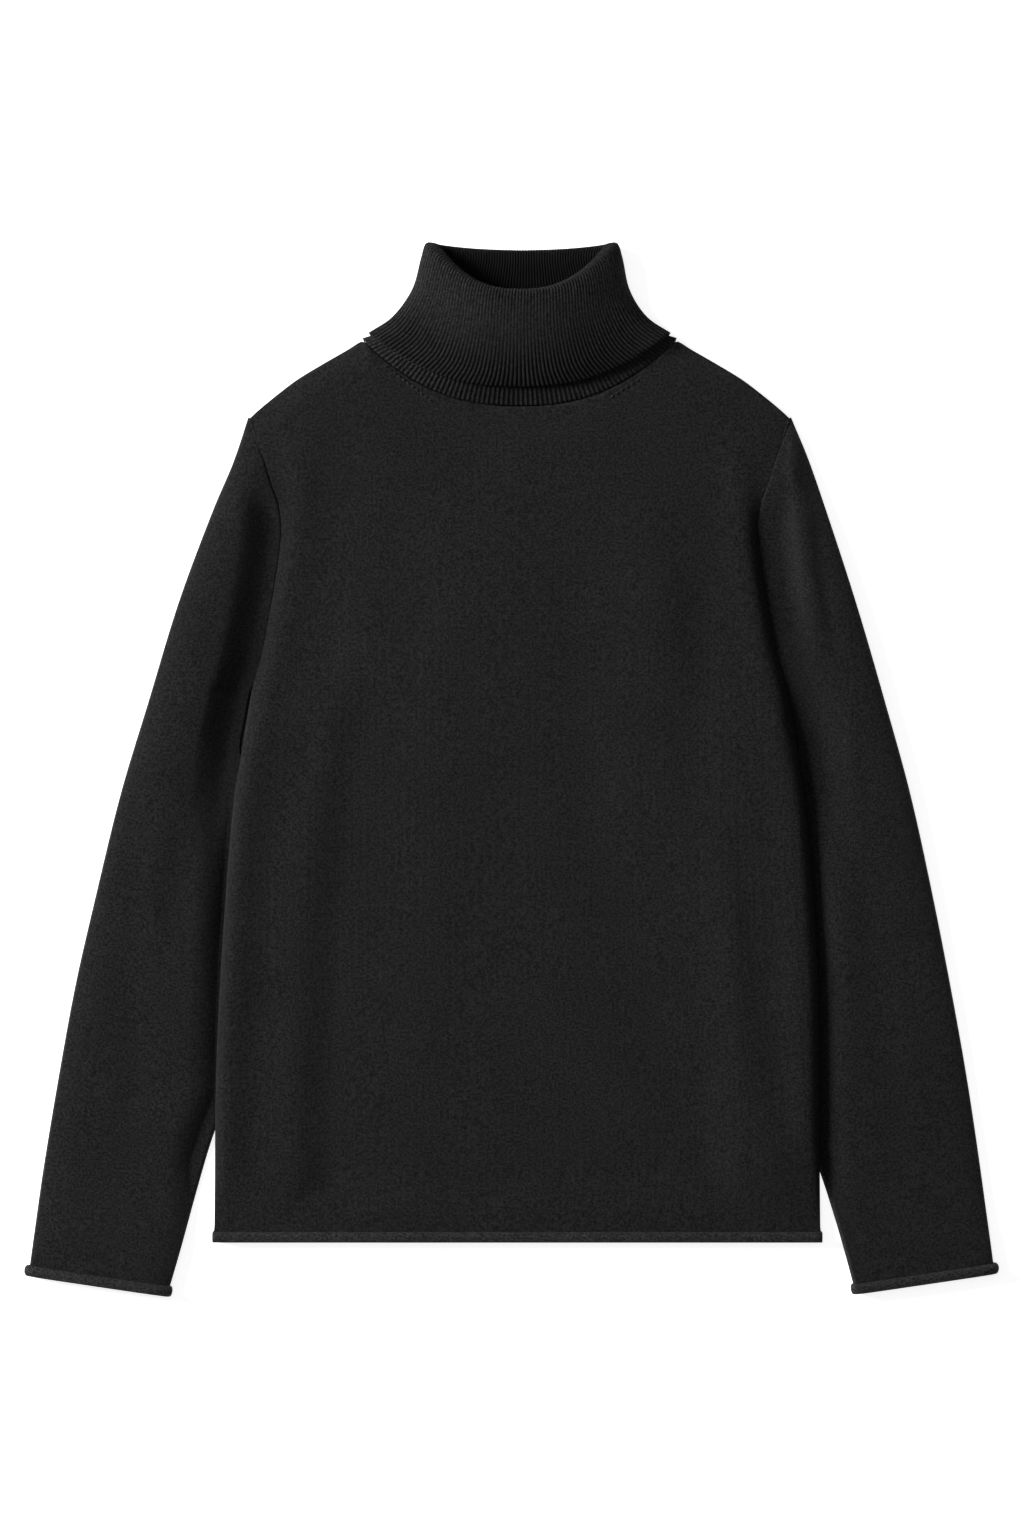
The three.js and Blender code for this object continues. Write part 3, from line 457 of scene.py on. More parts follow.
def front_top(x, y, side_y):
    """Outside of the front: the loft with its folds, let down to the side seam or armhole
    at both sides and to the neckline or shoulder at the top."""
    from_edge = body_half(side_y) - np.abs(x)
    lift = front_lift(from_edge, y)
    upward = step(y, *BODY_RISE)
    free = lift + mix(HEM_LOFT, BODY_LOFT, upward)
    folds = fold_height(BODY_FOLDS, x, y) + ripple(x, y, *BODY_RIPPLE)
    folded = np.maximum(free + folds * mix(HEM_FOLDS, 1, upward), lift + HEM_LOFT)
    on_armhole = step(side_y, *BODY_ARMHOLE)
    side_seam = back_lift(from_edge, y) + CLOTH + SEAM_GAP + CLOTH * (1 - upward)
    edge = mix(side_seam, armhole_top(side_y), on_armhole)
    low, left, right = SIDE_ROUNDING
    rounding = mix(low, np.where(x > 0, right, left), step(y, *SIDE_WIDENS))
    upright = rise(from_edge / rounding, 2)
    sloped = 1 - (1 - clamp01(from_edge / rounding)) ** 3
    from_side = edge + (folded - edge) * mix(sloped, upright, upward * (1 - on_armhole))
    across = np.abs(x)
    tipward = step(across, SHOULDER_TIP[0] - TIP_BLEND, SHOULDER_TIP[0])
    shoulder = mix(SHOULDER_LEVEL, armhole_top(SHOULDER_TIP[1]), tipward)
    neck = collar_z(0.0, np.minimum(across / COLLAR[0][1], 1), True) + CLOTH / 2
    top = np.where(across < COLLAR[0][1], neck, shoulder)
    from_top = top_edge(x, COLLAR[0][3]) - y
    return top + (from_side - top) * rise(from_top / TOP_SLOPE, 1)


def sway(y):
    """The body's lower part lies a little to the left of its middle."""
    return SWAY * step(y, *SWAY_SPAN)


def panel_grid(side_y, shares, neck_y):
    """Places of a panel's points: rows lie level at the sides, and the upper ones bend up in
    the middle by a growing share of the top edge's height over the shoulder tip."""
    x = shares * body_half(side_y)
    share = step(side_y, *ROWS_BEND)
    y = side_y + (top_edge(shares * SHOULDER_TIP[0], neck_y) - SHOULDER_TIP[1]) * share
    return x, y


def normals_of(grid, closed):
    """Unit normals of a grid of points: cross products of the differences along rows and
    down columns."""
    if closed:
        along = np.roll(grid, -1, 1) - np.roll(grid, 1, 1)
    else:
        along = np.gradient(grid, axis=1)
    normal = np.cross(along, np.gradient(grid, axis=0))
    return normal / np.maximum(np.linalg.norm(normal, axis=2, keepdims=True), 1e-9)


def curl_rows(edge, normal, onward, fullness):
    """Rows of both skins that carry a wall on into an outward roll: the cloth turns round an
    axis that lies one roll radius outside it, by three quarters of a turn and a little. Away
    from the wall the roll is drawn in to its fullness at each point."""
    lean = normal - (normal @ onward)[:, None] * onward
    lean /= np.linalg.norm(lean, axis=1, keepdims=True)
    turn = (ROLL_TURN * np.arange(1, ROLL_STEPS + 1) / ROLL_STEPS)[:, None, None]
    skins = []
    for side in (1, -1):
        radius = ROLL_RADIUS - side * CLOTH / 2
        away = fullness[:, None] * (ROLL_RADIUS - CLOTH / 2 - radius * np.cos(turn))
        skins.append(edge + lean * away + onward * radius * np.sin(turn))
    return skins


def rolled(skins, normal, onward, fullness):
    """Both skins of a wall, outer and inner, carried on into the roll at their last row."""
    curl = curl_rows(skins[0][-1], normal, onward, fullness)
    return [np.concatenate([skin, roll]) for skin, roll in zip(skins, curl)]


def roll_paleness_and_highlight(grid):
    """Tones of a wall that ends in a roll: the purl side that the roll turns out is fuzzier and
    paler, and its paleness also paints the highlight that the rounded roll catches, in slight
    patches along the edge."""
    row = np.arange(len(grid))[:, None] - (len(grid) - ROLL_STEPS)
    wave_a, wave_b, wave_c = (grid[..., 0] * rate for rate in PATCH_RATES)
    broad, narrow = PATCH_HEIGHTS
    patches = broad * np.sin(wave_a) * np.sin(wave_b + 1) + narrow * np.sin(wave_c + 2)
    return 1 + (ROLL_PALENESS_AND_HIGHLIGHT + patches) * smooth(row / PALE_ROWS)


def hem_fullness(shares, half):
    """Fullness of a hem's roll: it is drawn in over its last few millimetres at both ends."""
    inset = (1 - np.abs(shares.ravel())) * half
    return mix(HEM_END_FULLNESS, 1.0, rise(inset / HEM_END, 2))


def cloth_map(grid, closed):
    """Place of each point in the flat cloth, in metres: the run along the middle row and the
    run down the columns, so that stitches keep their size. A tube gets a closing column."""
    loop = np.concatenate([grid, grid[:, :1]], 1) if closed else grid
    run = np.linalg.norm(np.diff(loop, axis=1), axis=2)
    along = np.concatenate([np.zeros((len(grid), 1)), np.cumsum(run, 1)], 1)
    along -= along[:, along.shape[1] // 2][:, None]
    drop = np.linalg.norm(np.diff(loop, axis=0), axis=2)
    down = np.concatenate([np.zeros((1, loop.shape[1])), np.cumsum(drop, 0)], 0)
    return np.stack([along, -down], 2) * MM


def quads(rows, columns, closed, first):
    """Corner numbers of a grid's squares, and the matching corners in its flat map."""
    r, c = np.meshgrid(
        np.arange(rows - 1), np.arange(columns if closed else columns - 1), indexing="ij"
    )
    right = (c + 1) % columns
    corner = [
        r * columns + c, r * columns + right, (r + 1) * columns + right, (r + 1) * columns + c,
    ]
    wide = columns + 1 if closed else columns
    flat = [r * wide + c, r * wide + c + 1, (r + 1) * wide + c + 1, (r + 1) * wide + c]
    return np.stack(corner, -1).reshape(-1, 4) + first, np.stack(flat, -1).reshape(-1, 4)


def rim(a, b, flip):
    """Squares between two rows of point numbers of equal length."""
    corner = np.stack([a[:-1], a[1:], b[1:], b[:-1]], 1)
    return corner[:, ::-1] if flip else corner


def wall_mesh(name, outer, inner, closed, material, tone=None):
    """One closed wall of cloth from two skins of equal grids: both skins' squares, and rims
    along the first and last row and, on a sheet, the sides. Turned if its volume is negative.
    The tone of each point scales the yarn's colour there."""
    rows, columns = outer.shape[:2]
    count = rows * columns
    number = np.arange(count).reshape(rows, columns)
    if closed:
        number = np.concatenate([number, number[:, :1]], 1)
    out_faces, flat = quads(rows, columns, closed, 0)
    in_faces = (out_faces + count)[:, ::-1]
    flat_in = flat[:, ::-1]
    edges = [(number[0], True), (number[-1], False)]
    if not closed:
        edges += [(number[:, 0], False), (number[:, -1], True)]
    rims = [rim(edge, edge + count, flip) for edge, flip in edges]
    points = np.concatenate([outer.reshape(-1, 3), inner.reshape(-1, 3)])
    faces = np.concatenate([out_faces, in_faces, *rims])
    cloth = cloth_map(outer, closed).reshape(-1, 2)
    per_point = cloth_map(outer, False).reshape(-1, 2)
    rim_map = [per_point[np.minimum(r % count, count - 1)] for r in rims]
    maps = np.concatenate([cloth[flat], cloth[flat_in], *rim_map])
    a, b, c, d = (points[faces[:, k]] for k in range(4))
    volume = (a * np.cross(b, c)).sum() + (a * np.cross(c, d)).sum()
    if volume < 0:
        faces, maps = faces[:, ::-1], maps[:, ::-1]
    tones = np.ones(2 * count) if tone is None else np.tile(tone.ravel(), 2)
    return mesh_object(name, points, faces, maps, material, tones)


def mesh_object(name, points, faces, maps, material, tones):
    """An object at the origin from points in garment millimetres, faces with four corners
    each, the corners' places in the flat cloth and the points' tones."""
    place = (points * MM + [MIDDLE_X, HEM_Y, 0]).astype(np.float32)
    mesh = bpy.data.meshes.new(name)
    mesh.vertices.add(len(place))
    mesh.vertices.foreach_set("co", place.ravel())
    mesh.loops.add(faces.size)
    mesh.loops.foreach_set("vertex_index", faces.ravel().astype(np.int32))
    mesh.polygons.add(len(faces))
    mesh.polygons.foreach_set("loop_start", np.arange(0, faces.size, 4, dtype=np.int32))
    mesh.polygons.foreach_set("use_smooth", np.ones(len(faces), bool))
    layer = mesh.uv_layers.new(name="cloth")
    layer.data.foreach_set("uv", maps.reshape(-1).astype(np.float32))
    shade = mesh.attributes.new("tone", "FLOAT", "POINT")
    shade.data.foreach_set("value", tones.astype(np.float32))
    mesh.materials.append(material)
    mesh.update()
    mesh.validate()
    piece = bpy.data.objects.new(name, mesh)
    bpy.context.scene.collection.objects.link(piece)
    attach(piece, "root")
    return piece


def shares_between(edges, counts):
    """Values spaced evenly between each pair of edges, as many steps as counts says."""
    parts = [np.linspace(a, b, n, endpoint=False) for a, b, n in zip(edges, edges[1:], counts)]
    return np.concatenate([*parts, [edges[-1]]])


def front_piece(material):
    """Front: front_top over the panel's grid, a cloth's thickness along its normals, and a
    hem that curls up and over into a roll."""
    side_y = shares_between(*FRONT_ROWS)[:, None]
    half = shares_between(*FRONT_COLUMNS)
    shares = np.concatenate([-half[:0:-1], half])[None, :]
    x, y = panel_grid(side_y, shares, COLLAR[0][3])
    outer = np.stack([x + sway(y), y, front_top(x, y, side_y)], 2)
    normal = -normals_of(outer, False)
    inner = outer - normal * CLOTH
    floor = back_lift(body_half(side_y) - np.abs(x), inner[..., 1]) + CLOTH
    inner[..., 2] = np.maximum(inner[..., 2], floor + SEAM_GAP)
    fullness = hem_fullness(shares, body_half(side_y[-1]))
    skins = rolled((outer, inner), normal[-1], HEM_ONWARD, fullness)
    return wall_mesh("front_knit", *skins, False, material, roll_paleness_and_highlight(skins[0]))


def back_piece(material):
    """Back: a level sheet lifted over the tucked sleeves, with a hem that curls down and
    under into a roll that the sweater rests on."""
    side_y = shares_between(*BACK_ROWS)[:, None]
    half = shares_between(*BACK_COLUMNS)
    shares = np.concatenate([-half[:0:-1], half])[None, :]
    x, y = panel_grid(side_y, shares, COLLAR[0][4])
    under = np.stack([x + sway(y), y, back_lift(body_half(side_y) - np.abs(x), y)], 2)
    upper = under + [0, 0, CLOTH]
    down = np.tile([0, 0, -1.0], (under.shape[1], 1))
    fullness = hem_fullness(shares, body_half(side_y[-1]))
    skins = rolled((under, upper), down, HEM_ONWARD, fullness)
    return wall_mesh("back_knit", *skins, False, material, roll_paleness_and_highlight(skins[0]))


def cuff_lift(y):
    """Height of a sleeve's underside: it is lifted over the roll of its cuff."""
    return ROLL_LIFT * step(y, *CUFF_LIFT_SPAN)


def sleeve_top(side, sign, x, y, bottom):
    """Outside of a sleeve's upper layer: low where the body lies on it, lofted with its folds
    beyond, and rounded down to the outer edge."""
    on_armhole = step(y, *SLEEVE_ARMHOLE)
    low = bottom + mix(SLEEVE_FLAT, armhole_top(y), on_armhole)
    from_body = x - body_half(y) - mix(*LOFT_CLEARANCE, on_armhole)
    strip = INNER_STRIP * step(y, *STRIP_OPENS) * step(y, *STRIP_CLOSES)
    from_inner = np.minimum(from_body, x - inner_edge[side](y) - strip)
    from_inner = np.where(y > ARMHOLE_FOOT, from_body, from_inner)
    folds = fold_height(SLEEVE_FOLDS[side], sign * x, y) + ripple(sign * x, y, *SLEEVE_RIPPLE)
    high = bottom * CUFF_LIFT_KEPT + sleeve_loft[side](y) + folds
    steep = step(y, *STEEP_UPWARD) * step(y, *STEEP_DOWNWARD)
    crown = smooth((from_inner - VALLEY[side]) / STEEP_RISE)
    slope = mix(rise(from_inner / GENTLE_RISE, 1), crown, steep)
    lofted = low + np.maximum(high - low, 0) * slope
    from_outer = (outer_edge[side](y) - x) * EDGE_SLANT
    rounded = rise(from_outer / SLEEVE_ROUNDING[side], 2)
    edge = mix(bottom, lofted, 0.5)
    return np.maximum(edge + (lofted - edge) * rounded, bottom + SLEEVE_FLAT * EDGE_SHARE)


def sleeve_piece(side, sign, material):
    """One sleeve: slanted rings of a flat tube, each from the inner edge over the upper layer
    to the outer edge and back below, blended into the armhole at its top end, with a cuff
    that curls outwards all round. Rings and shares between the tables' ones are linear."""
    last = len(SLEEVE_RINGS) - 1
    ring = np.linspace(0, last, last * RING_STEPS + 1)
    known = np.arange(len(SLEEVE_RINGS))
    outer_y = curve(np.column_stack([known, SLEEVE_RINGS[:, 0]]))(ring)[:, None]
    inner_y = curve(np.column_stack([known, SLEEVE_RINGS[:, 1]]))(ring)[:, None]
    outer_x, inner_x = outer_edge[side](outer_y), inner_edge[side](inner_y)
    length = np.hypot(outer_x - inner_x, outer_y - inner_y)
    leave = clamp01(1 - ring[:, None] / BLEND_RINGS) ** 2
    seam_y0, seam_y1 = SLEEVE_RINGS[0, 1], SLEEVE_RINGS[0, 0]

    first = INNER_INSET / length
    under = np.maximum(body_half(inner_y) + TUCK_REACH - inner_x, LEAST_TUCK * length)
    tuck = np.minimum(under / (outer_x - inner_x), MOST_TUCK)
    last_top, last_low = (1 - inset / length for inset in OUTER_INSETS)
    regular = [first, tuck / 2, tuck, mix(tuck, 1, VISIBLE_SHARES), last_top]
    top = np.concatenate(regular, 1)
    top = mix(top, (ARMHOLE_ROWS - seam_y0) / (seam_y1 - seam_y0), leave)
    level = [np.full_like(length, share) for share in LOWER_SHARES]
    low = np.concatenate([last_low, *level, first], 1)
    low = mix(low, (BACK_ARMHOLE_ROWS - seam_y0) / (seam_y1 - seam_y0), leave)

    def finer(shares, steps):
        """Values between a table's columns, by straight interpolation."""
        at = np.linspace(0, shares.shape[1] - 1, (shares.shape[1] - 1) * steps + 1)
        left = np.minimum(at.astype(int), shares.shape[1] - 2)
        return mix(shares[:, left], shares[:, left + 1], at - left)

    def place(share):
        """Point of a ring at a share of its width, and how the armhole bulges it."""
        y = mix(inner_y, outer_y, share)
        seam_y = mix(seam_y0, seam_y1, share)
        chord = mix(inner_edge[side](seam_y0), outer_edge[side](seam_y1), share)
        past_tip = np.maximum(seam_y - SHOULDER_TIP[1], 0)
        bulge = body_half(seam_y) + SEAM_GAP + TIP_FLARE * past_tip - chord
        return mix(inner_x, outer_x, share) + bulge * leave, y

    top, low = finer(top, UPPER_STEPS), finer(low, LOWER_STEPS)
    edge = [1 - inset / length for inset, _ in OUTER_POINTS]
    share = np.concatenate([top, *edge, low, np.zeros_like(length)], 1)
    rounded = [up for _, up in OUTER_POINTS]
    level = [np.ones(top.shape[1]), rounded, np.zeros(low.shape[1]), [INNER_EDGE_HEIGHT]]
    height = np.concatenate(level)
    x, y = place(share)
    bottom = cuff_lift(y)
    outer = np.stack([sign * x, y, mix(bottom, sleeve_top(side, sign, x, y, bottom), height)], 2)
    inset = SKIN_INSET / length
    x, y = place(np.clip(share, inset, 1 - inset))
    floor = cuff_lift(y) + CLOTH
    upper = sleeve_top(side, sign, x, y, cuff_lift(y)) - UPPER_WALL
    ceiling = np.maximum(upper, floor + LEAST_ROOM)
    inner = np.stack([sign * x, y, mix(floor, ceiling, height)], 2)
    for skin in (outer, inner):
        skin[..., 1] -= CUFF_DROP[side] * step(skin[..., 1], *CUFF_DROP_SPAN)
    normal = -sign * normals_of(outer, True)
    across = outer[-1, top.shape[1]] - outer[-1, -1]
    onward = np.array([across[1] * sign, -abs(across[0]), 0])
    onward /= np.linalg.norm(onward)
    fullness = mix(SIDE_CURL, 1.0, smooth(np.abs(normal[-1][:, 2]) / FULL_CURL))
    skins = rolled((outer, inner), normal[-1], onward, fullness)
    return wall_mesh("sleeve_" + side + "_knit", *skins, True, material, roll_paleness_and_highlight(skins[0]))


def even_angles(path, count):
    """Angles that cut the collar's ring at a path position into stretches of equal length."""
    angle = np.linspace(0, 2 * math.pi, ANGLE_SAMPLES)
    run = np.linalg.norm(np.diff(collar_points(path, angle), axis=0), axis=1)
    run = np.concatenate([[0], np.cumsum(run)])
    return np.interp(np.linspace(0, run[-1], count, endpoint=False), run, angle)


def collar_points(path, angle):
    """Middle of the collar's cloth at a path position and an angle round the neck, 0 at the
    middle of the front: x is the half width times the sine, and y falls from the side to the
    front or back by a power of the sine."""
    across = np.abs(np.sin(angle))
    front = np.cos(angle) >= 0
    ring = {name: value(path) for name, value in collar_ring.items()}
    middle_y = np.where(front, ring["front_y"], ring["back_y"])
    y = mix(ring["side_y"], middle_y, 1 - across**NECK_POWER)
    z = collar_z(path, across, front)
    x = ring["half"] * np.sin(angle) + COLLAR_LEAN * step(y, *LEAN_SPAN)
    return np.stack(np.broadcast_arrays(x, y, z), -1)


def collar_piece(sizes, material):
    """Collar: one cloth from the seam up the stand, over the crest and down the fall. Both
    faces carry the same ribs, rounded and narrow between, and they fade on the side that the
    sweater rests on."""
    angle = even_angles(EVEN_RIBS_AT, sizes.ribs * RIB_POINTS)[None, :]
    path = shares_between(*COLLAR_ROWS)[:, None]
    middle = collar_points(path, angle)
    normal = -normals_of(middle, True)
    phase = np.arange(angle.size) / RIB_POINTS
    ribs = 2 * np.abs(np.cos(math.pi * phase))[None, :] ** RIB_ROUNDING - 1
    strength = rib_strength(path)
    relief = (sizes.rib_relief / MM * strength * ribs)[..., None]
    skins = []
    for side in (1, -1):
        downward = step(-normal[..., 2:] * side, *FACES_DOWN) * (middle[..., 2:] < LYING_BELOW)
        skins.append(middle + side * normal * (RIB_CLOTH / 2 + relief * side * (1 - downward)))
    # Painted shade in the grooves between the ribs, where they shade each other
    groove_painted_shade = sizes.rib_shade * strength * smooth(GROOVE_EDGE - ribs)
    # Painted light on the strip's sides, against the fall's shadow
    strip = 1 + STRIP_PAINTED_LIGHT * smooth(np.abs(np.sin(angle))) * step(path, *STRIP_END)
    # Painted shade inside the fold and painted highlight over the crest, with the strip's
    # painted light and the grooves' painted shade, scale the yarn's colour
    tone = painted_collar_shading(path) * strip * (1 - np.minimum(groove_painted_shade, 1))
    return wall_mesh("collar_rib", *skins, True, material, tone)


def seam_path(sign):
    """The armhole's seam from the shoulder tip down to the armpit, and on between the body's
    side and the tucked sleeve: it follows the body's half width in the middle of the cloth."""
    y = np.linspace(SHOULDER_TIP[1], SEAM_FOOT, SEAM_POINTS)
    z = mix(armhole_top(y) - CLOTH / 2, DIVED_LEVEL, step(y, *SEAM_DIVE))
    return np.stack([sign * (body_half(y) + SEAM_GAP / 2), y, z], 1)


def laid_on(piece, x, y):
    """A path laid on a piece: each point is as high as the highest of the piece's points
    within a short reach of it."""
    points = np.empty(3 * len(piece.data.vertices), np.float32)
    piece.data.vertices.foreach_get("co", points)
    points = points.reshape(-1, 3) / MM - [MIDDLE_X / MM, HEM_Y / MM, 0]
    apart = np.hypot(points[:, 0] - x[:, None], points[:, 1] - y[:, None])
    z = np.where(apart < MARK_REACH, points[:, 2], 0).max(1)
    return np.stack([x, y, z], 1)


def mark_row(name, ends, piece, material):
    """A row of fashioning marks, where stitches were moved over: a cord laid straight from
    end to end on the piece, whose radius swells into a bead at each mark and is almost
    nothing between."""
    (x0, y0), (x1, y1) = ends
    marks = round(math.hypot(x1 - x0, y1 - y0) / MARK_PITCH)
    share = np.linspace(0, 1, marks * MARK_STEPS + 1)
    beads = np.sin(math.pi * share * marks) ** 2
    path = laid_on(piece, mix(x0, x1, share), mix(y0, y1, share))
    return cord(name, path, MARK_RADIUS * mix(THREAD_SHARE, 1, beads), material, MARK_TONE)


def cord(name, path, radius, material, tone=1.0):
    """A stitched seam as a round cord: circles square to its path, whose radius swells a
    little with each stitch. The tone scales the yarn's colour."""
    tangent = np.gradient(path, axis=0)
    tangent /= np.linalg.norm(tangent, axis=1, keepdims=True)
    across = np.cross(tangent, [0, 0, 1.0])
    across /= np.linalg.norm(across, axis=1, keepdims=True)
    upward = np.cross(across, tangent)
    angle = np.linspace(0, 2 * math.pi, CORD_SIDES, endpoint=False)[None, :, None]
    swell = 1 + STITCH_SWELL * np.sin(np.arange(len(path)) * STITCH_RATE)
    swell = (radius * swell)[:, None, None]
    circle = np.cos(angle) * across[:, None] + np.sin(angle) * upward[:, None]
    grid = path[:, None] + swell * circle
    faces, flat = quads(*grid.shape[:2], True, 0)
    maps = cloth_map(grid, True).reshape(-1, 2)[flat]
    points = grid.reshape(-1, 3)
    return mesh_object(name, points, faces, maps, material, np.full(len(points), tone))


# Stitches: lean of a leg towards its V's point, and the height and level of its wave
LEG_LEAN = 1.3
LEG_WAVE = (0.35, 0.65)
# Yarn, noise per metre: fine fuzz, soft clouds, grain of the stitches and pale flecks
FUZZ_SCALE = 900.0
CLOUD_SCALE = 22.0
GRAIN_SCALE = 640.0
FLECK_SCALE = 420.0
# Map ranges of grain and flecks, and each layer's share and base in the yarn's tone
GRAIN_RANGE = {1: 0.36, 2: 0.64, 3: 0.3, 4: 1.75}
FLECK_RANGE = {1: 0.58, 2: 0.8, 3: 0.0, 4: 1.0}
CLOUD_TONE = (0.4, 0.8)
# The stitches' share is painted shade: the yarn is darker where the stitch relief is low,
# between the legs
STITCH_PAINTED_SHADE = (1.1, 0.35)
FLECK_TONE = 0.8
# Shares of fuzz and grain in the relief, of fuzz in the roughness, and the relief's depth
FUZZ_RELIEF = 0.6
GRAIN_RELIEF = 1.6
FUZZ_ROUGHNESS = (0.2, 0.78)
BODY_DEPTH = 0.0006
COLLAR_DEPTH = 0.0003

# Stage in metres and watts: the floor, the lights as place, size and power, the camera
FLOOR_REACH = 4.0
FLOOR_DROP = 0.0003
FLOOR_GRAIN = 60.0
FLOOR_ROUGHNESS = (0.05, 0.9)
FLOOR_GLOW = 0.8
LIGHTS = {
    "key_left": ((-3.1, 1.15, 1.95), (1.2, 1.6), 262),
    "overhead": ((0, 0, 3.0), (2.5, 2.5), 13),
}
WORLD_GLOW = 0.08
LENS = 135
SENSOR = 36
FRAME_HEIGHT = 1.0752
CAMERA_SHIFT = (0.0003, -0.0003)
LEVEL_SEEN = 0.008


class Nodes:
    """A short way to build a material's node tree."""

    def __init__(self, name):
        self.material = bpy.data.materials.new(name)
        self.material.use_nodes = True
        self.tree = self.material.node_tree
        self.tree.nodes.clear()

    def add(self, kind, values=(), **settings):
        """A node of a kind with its inputs set or linked by name or number."""
        node = self.tree.nodes.new("ShaderNode" + kind)
        for key, value in settings.items():
            setattr(node, key, value)
        for key, value in dict(values).items():
            if isinstance(value, bpy.types.NodeSocket):
                self.tree.links.new(value, node.inputs[key])
            else:
                node.inputs[key].default_value = value
        return node

    def math(self, operation, a, b=0.0, c=0.0):
        """The output of one sum of up to three values."""
        return self.add("Math", {0: a, 1: b, 2: c}, operation=operation).outputs[0]

    def noise(self, place, scale, detail, roughness=0.5):
        """Smooth noise in three dimensions, between 0 and 1."""
        values = {"Vector": place, "Scale": scale, "Detail": detail, "Roughness": roughness}
        return self.add("TexNoise", values).outputs[0]


def knit_height(nodes, wale, course):
    """Height of plain knit: each stitch is a V of two rounded legs. The legs' height is the
    sine across half a wale, times a wave along the course that leans towards the V's point."""
    place = nodes.add("SeparateXYZ", {0: nodes.add("UVMap", uv_map="cloth").outputs[0]})
    across = nodes.math("MULTIPLY", place.outputs[0], 1 / wale)
    down = nodes.math("MULTIPLY", place.outputs[1], 1 / course)
    leg = nodes.math("PINGPONG", across, 0.5)
    slanted = nodes.math("MULTIPLY_ADD", leg, LEG_LEAN, down)
    wave = nodes.math("SINE", nodes.math("MULTIPLY", slanted, 2 * math.pi))
    round_leg = nodes.math("SINE", nodes.math("MULTIPLY", leg, 2 * math.pi))
    tall = nodes.math("MULTIPLY_ADD", wave, *LEG_WAVE)
    return nodes.math("MULTIPLY", round_leg, tall)


def wool(name, colour, wale, course, depth):
    """Black wool knit: a soft stitch relief, slight patches and flecks of lighter and darker
    fibre, dull, with the pale bloom of fuzz where it is seen from the side."""
    nodes = Nodes(name)
    here = nodes.add("TexCoord").outputs["Object"]
    height = knit_height(nodes, wale, course)
    fuzz = nodes.noise(here, FUZZ_SCALE, 3.0)
    cloud = nodes.noise(here, CLOUD_SCALE, 4.0)
    grain = nodes.noise(here, GRAIN_SCALE, 3.0, 0.6)
    fleck = nodes.noise(here, FLECK_SCALE, 6.0)
    ramp = nodes.add("MapRange", {0: fleck, **FLECK_RANGE}).outputs[0]
    patch = nodes.add("MapRange", {0: grain, **GRAIN_RANGE}).outputs[0]
    tone = nodes.math("MULTIPLY_ADD", cloud, *CLOUD_TONE)
    # Painted shade between the stitches' legs
    tone = nodes.math("MULTIPLY", tone, nodes.math("MULTIPLY_ADD", height, *STITCH_PAINTED_SHADE))
    tone = nodes.math("MULTIPLY", tone, patch)
    tone = nodes.math("MULTIPLY_ADD", ramp, FLECK_TONE, tone)
    # The points' tone also holds painted shade and light: the collar's fold, crest, grooves and
    # strip, and the rolled edges
    drawn = nodes.add("Attribute", attribute_name="tone").outputs["Fac"]
    tone = nodes.math("MULTIPLY", tone, drawn)
    scaled = nodes.add("VectorMath", {0: tuple(colour), "Scale": tone}, operation="SCALE")
    relief = nodes.math("MULTIPLY_ADD", fuzz, FUZZ_RELIEF, height)
    relief = nodes.math("MULTIPLY_ADD", grain, GRAIN_RELIEF, relief)
    bump = nodes.add("Bump", {"Height": relief, "Strength": 1.0, "Distance": depth})
    rough = nodes.math("MULTIPLY_ADD", fuzz, *FUZZ_ROUGHNESS)
    shader = nodes.add("BsdfPrincipled", {
        "Base Color": scaled.outputs[0], "Roughness": rough, "Normal": bump.outputs[0],
        "Specular IOR Level": 0.12, "Sheen Weight": 0.04, "Sheen Roughness": 0.45,
        "Sheen Tint": (0.78, 0.78, 0.78, 1),
    })
    nodes.add("OutputMaterial", {0: shader.outputs[0]})
    return nodes.material


def glowing_paper(name, colour, glow):
    """White paper lit from behind: a matt surface with the faintest grain that also gives off
    light of its own, so that nothing casts a visible shadow on it."""
    nodes = Nodes(name)
    here = nodes.add("TexCoord").outputs["Object"]
    grain = nodes.noise(here, FLOOR_GRAIN, 2.0)
    rough = nodes.math("MULTIPLY_ADD", grain, *FLOOR_ROUGHNESS)
    shader = nodes.add("BsdfPrincipled", {
        "Base Color": (*colour, 1), "Roughness": rough,
        "Emission Color": (1, 1, 1, 1), "Emission Strength": glow,
    })
    nodes.add("OutputMaterial", {0: shader.outputs[0]})
    return nodes.material


class SweaterSizes(bpy.types.PropertyGroup):
    """Sizes of the knit that a user may change."""

    wale: bpy.props.FloatProperty(
        name="Wale", description="Width of one stitch", default=0.0016, unit="LENGTH"
    )
    course: bpy.props.FloatProperty(
        name="Course", description="Height of one stitch", default=0.0012, unit="LENGTH"
    )
    ribs: bpy.props.IntProperty(
        name="Ribs", description="Ribs round the collar", default=144
    )
    rib_relief: bpy.props.FloatProperty(
        name="Rib relief", description="Half the height of a rib", default=0.0005,
        unit="LENGTH",
    )
    rib_shade: bpy.props.FloatProperty(
        name="Rib shade", description="Darkness of the grooves between ribs", default=0.85
    )


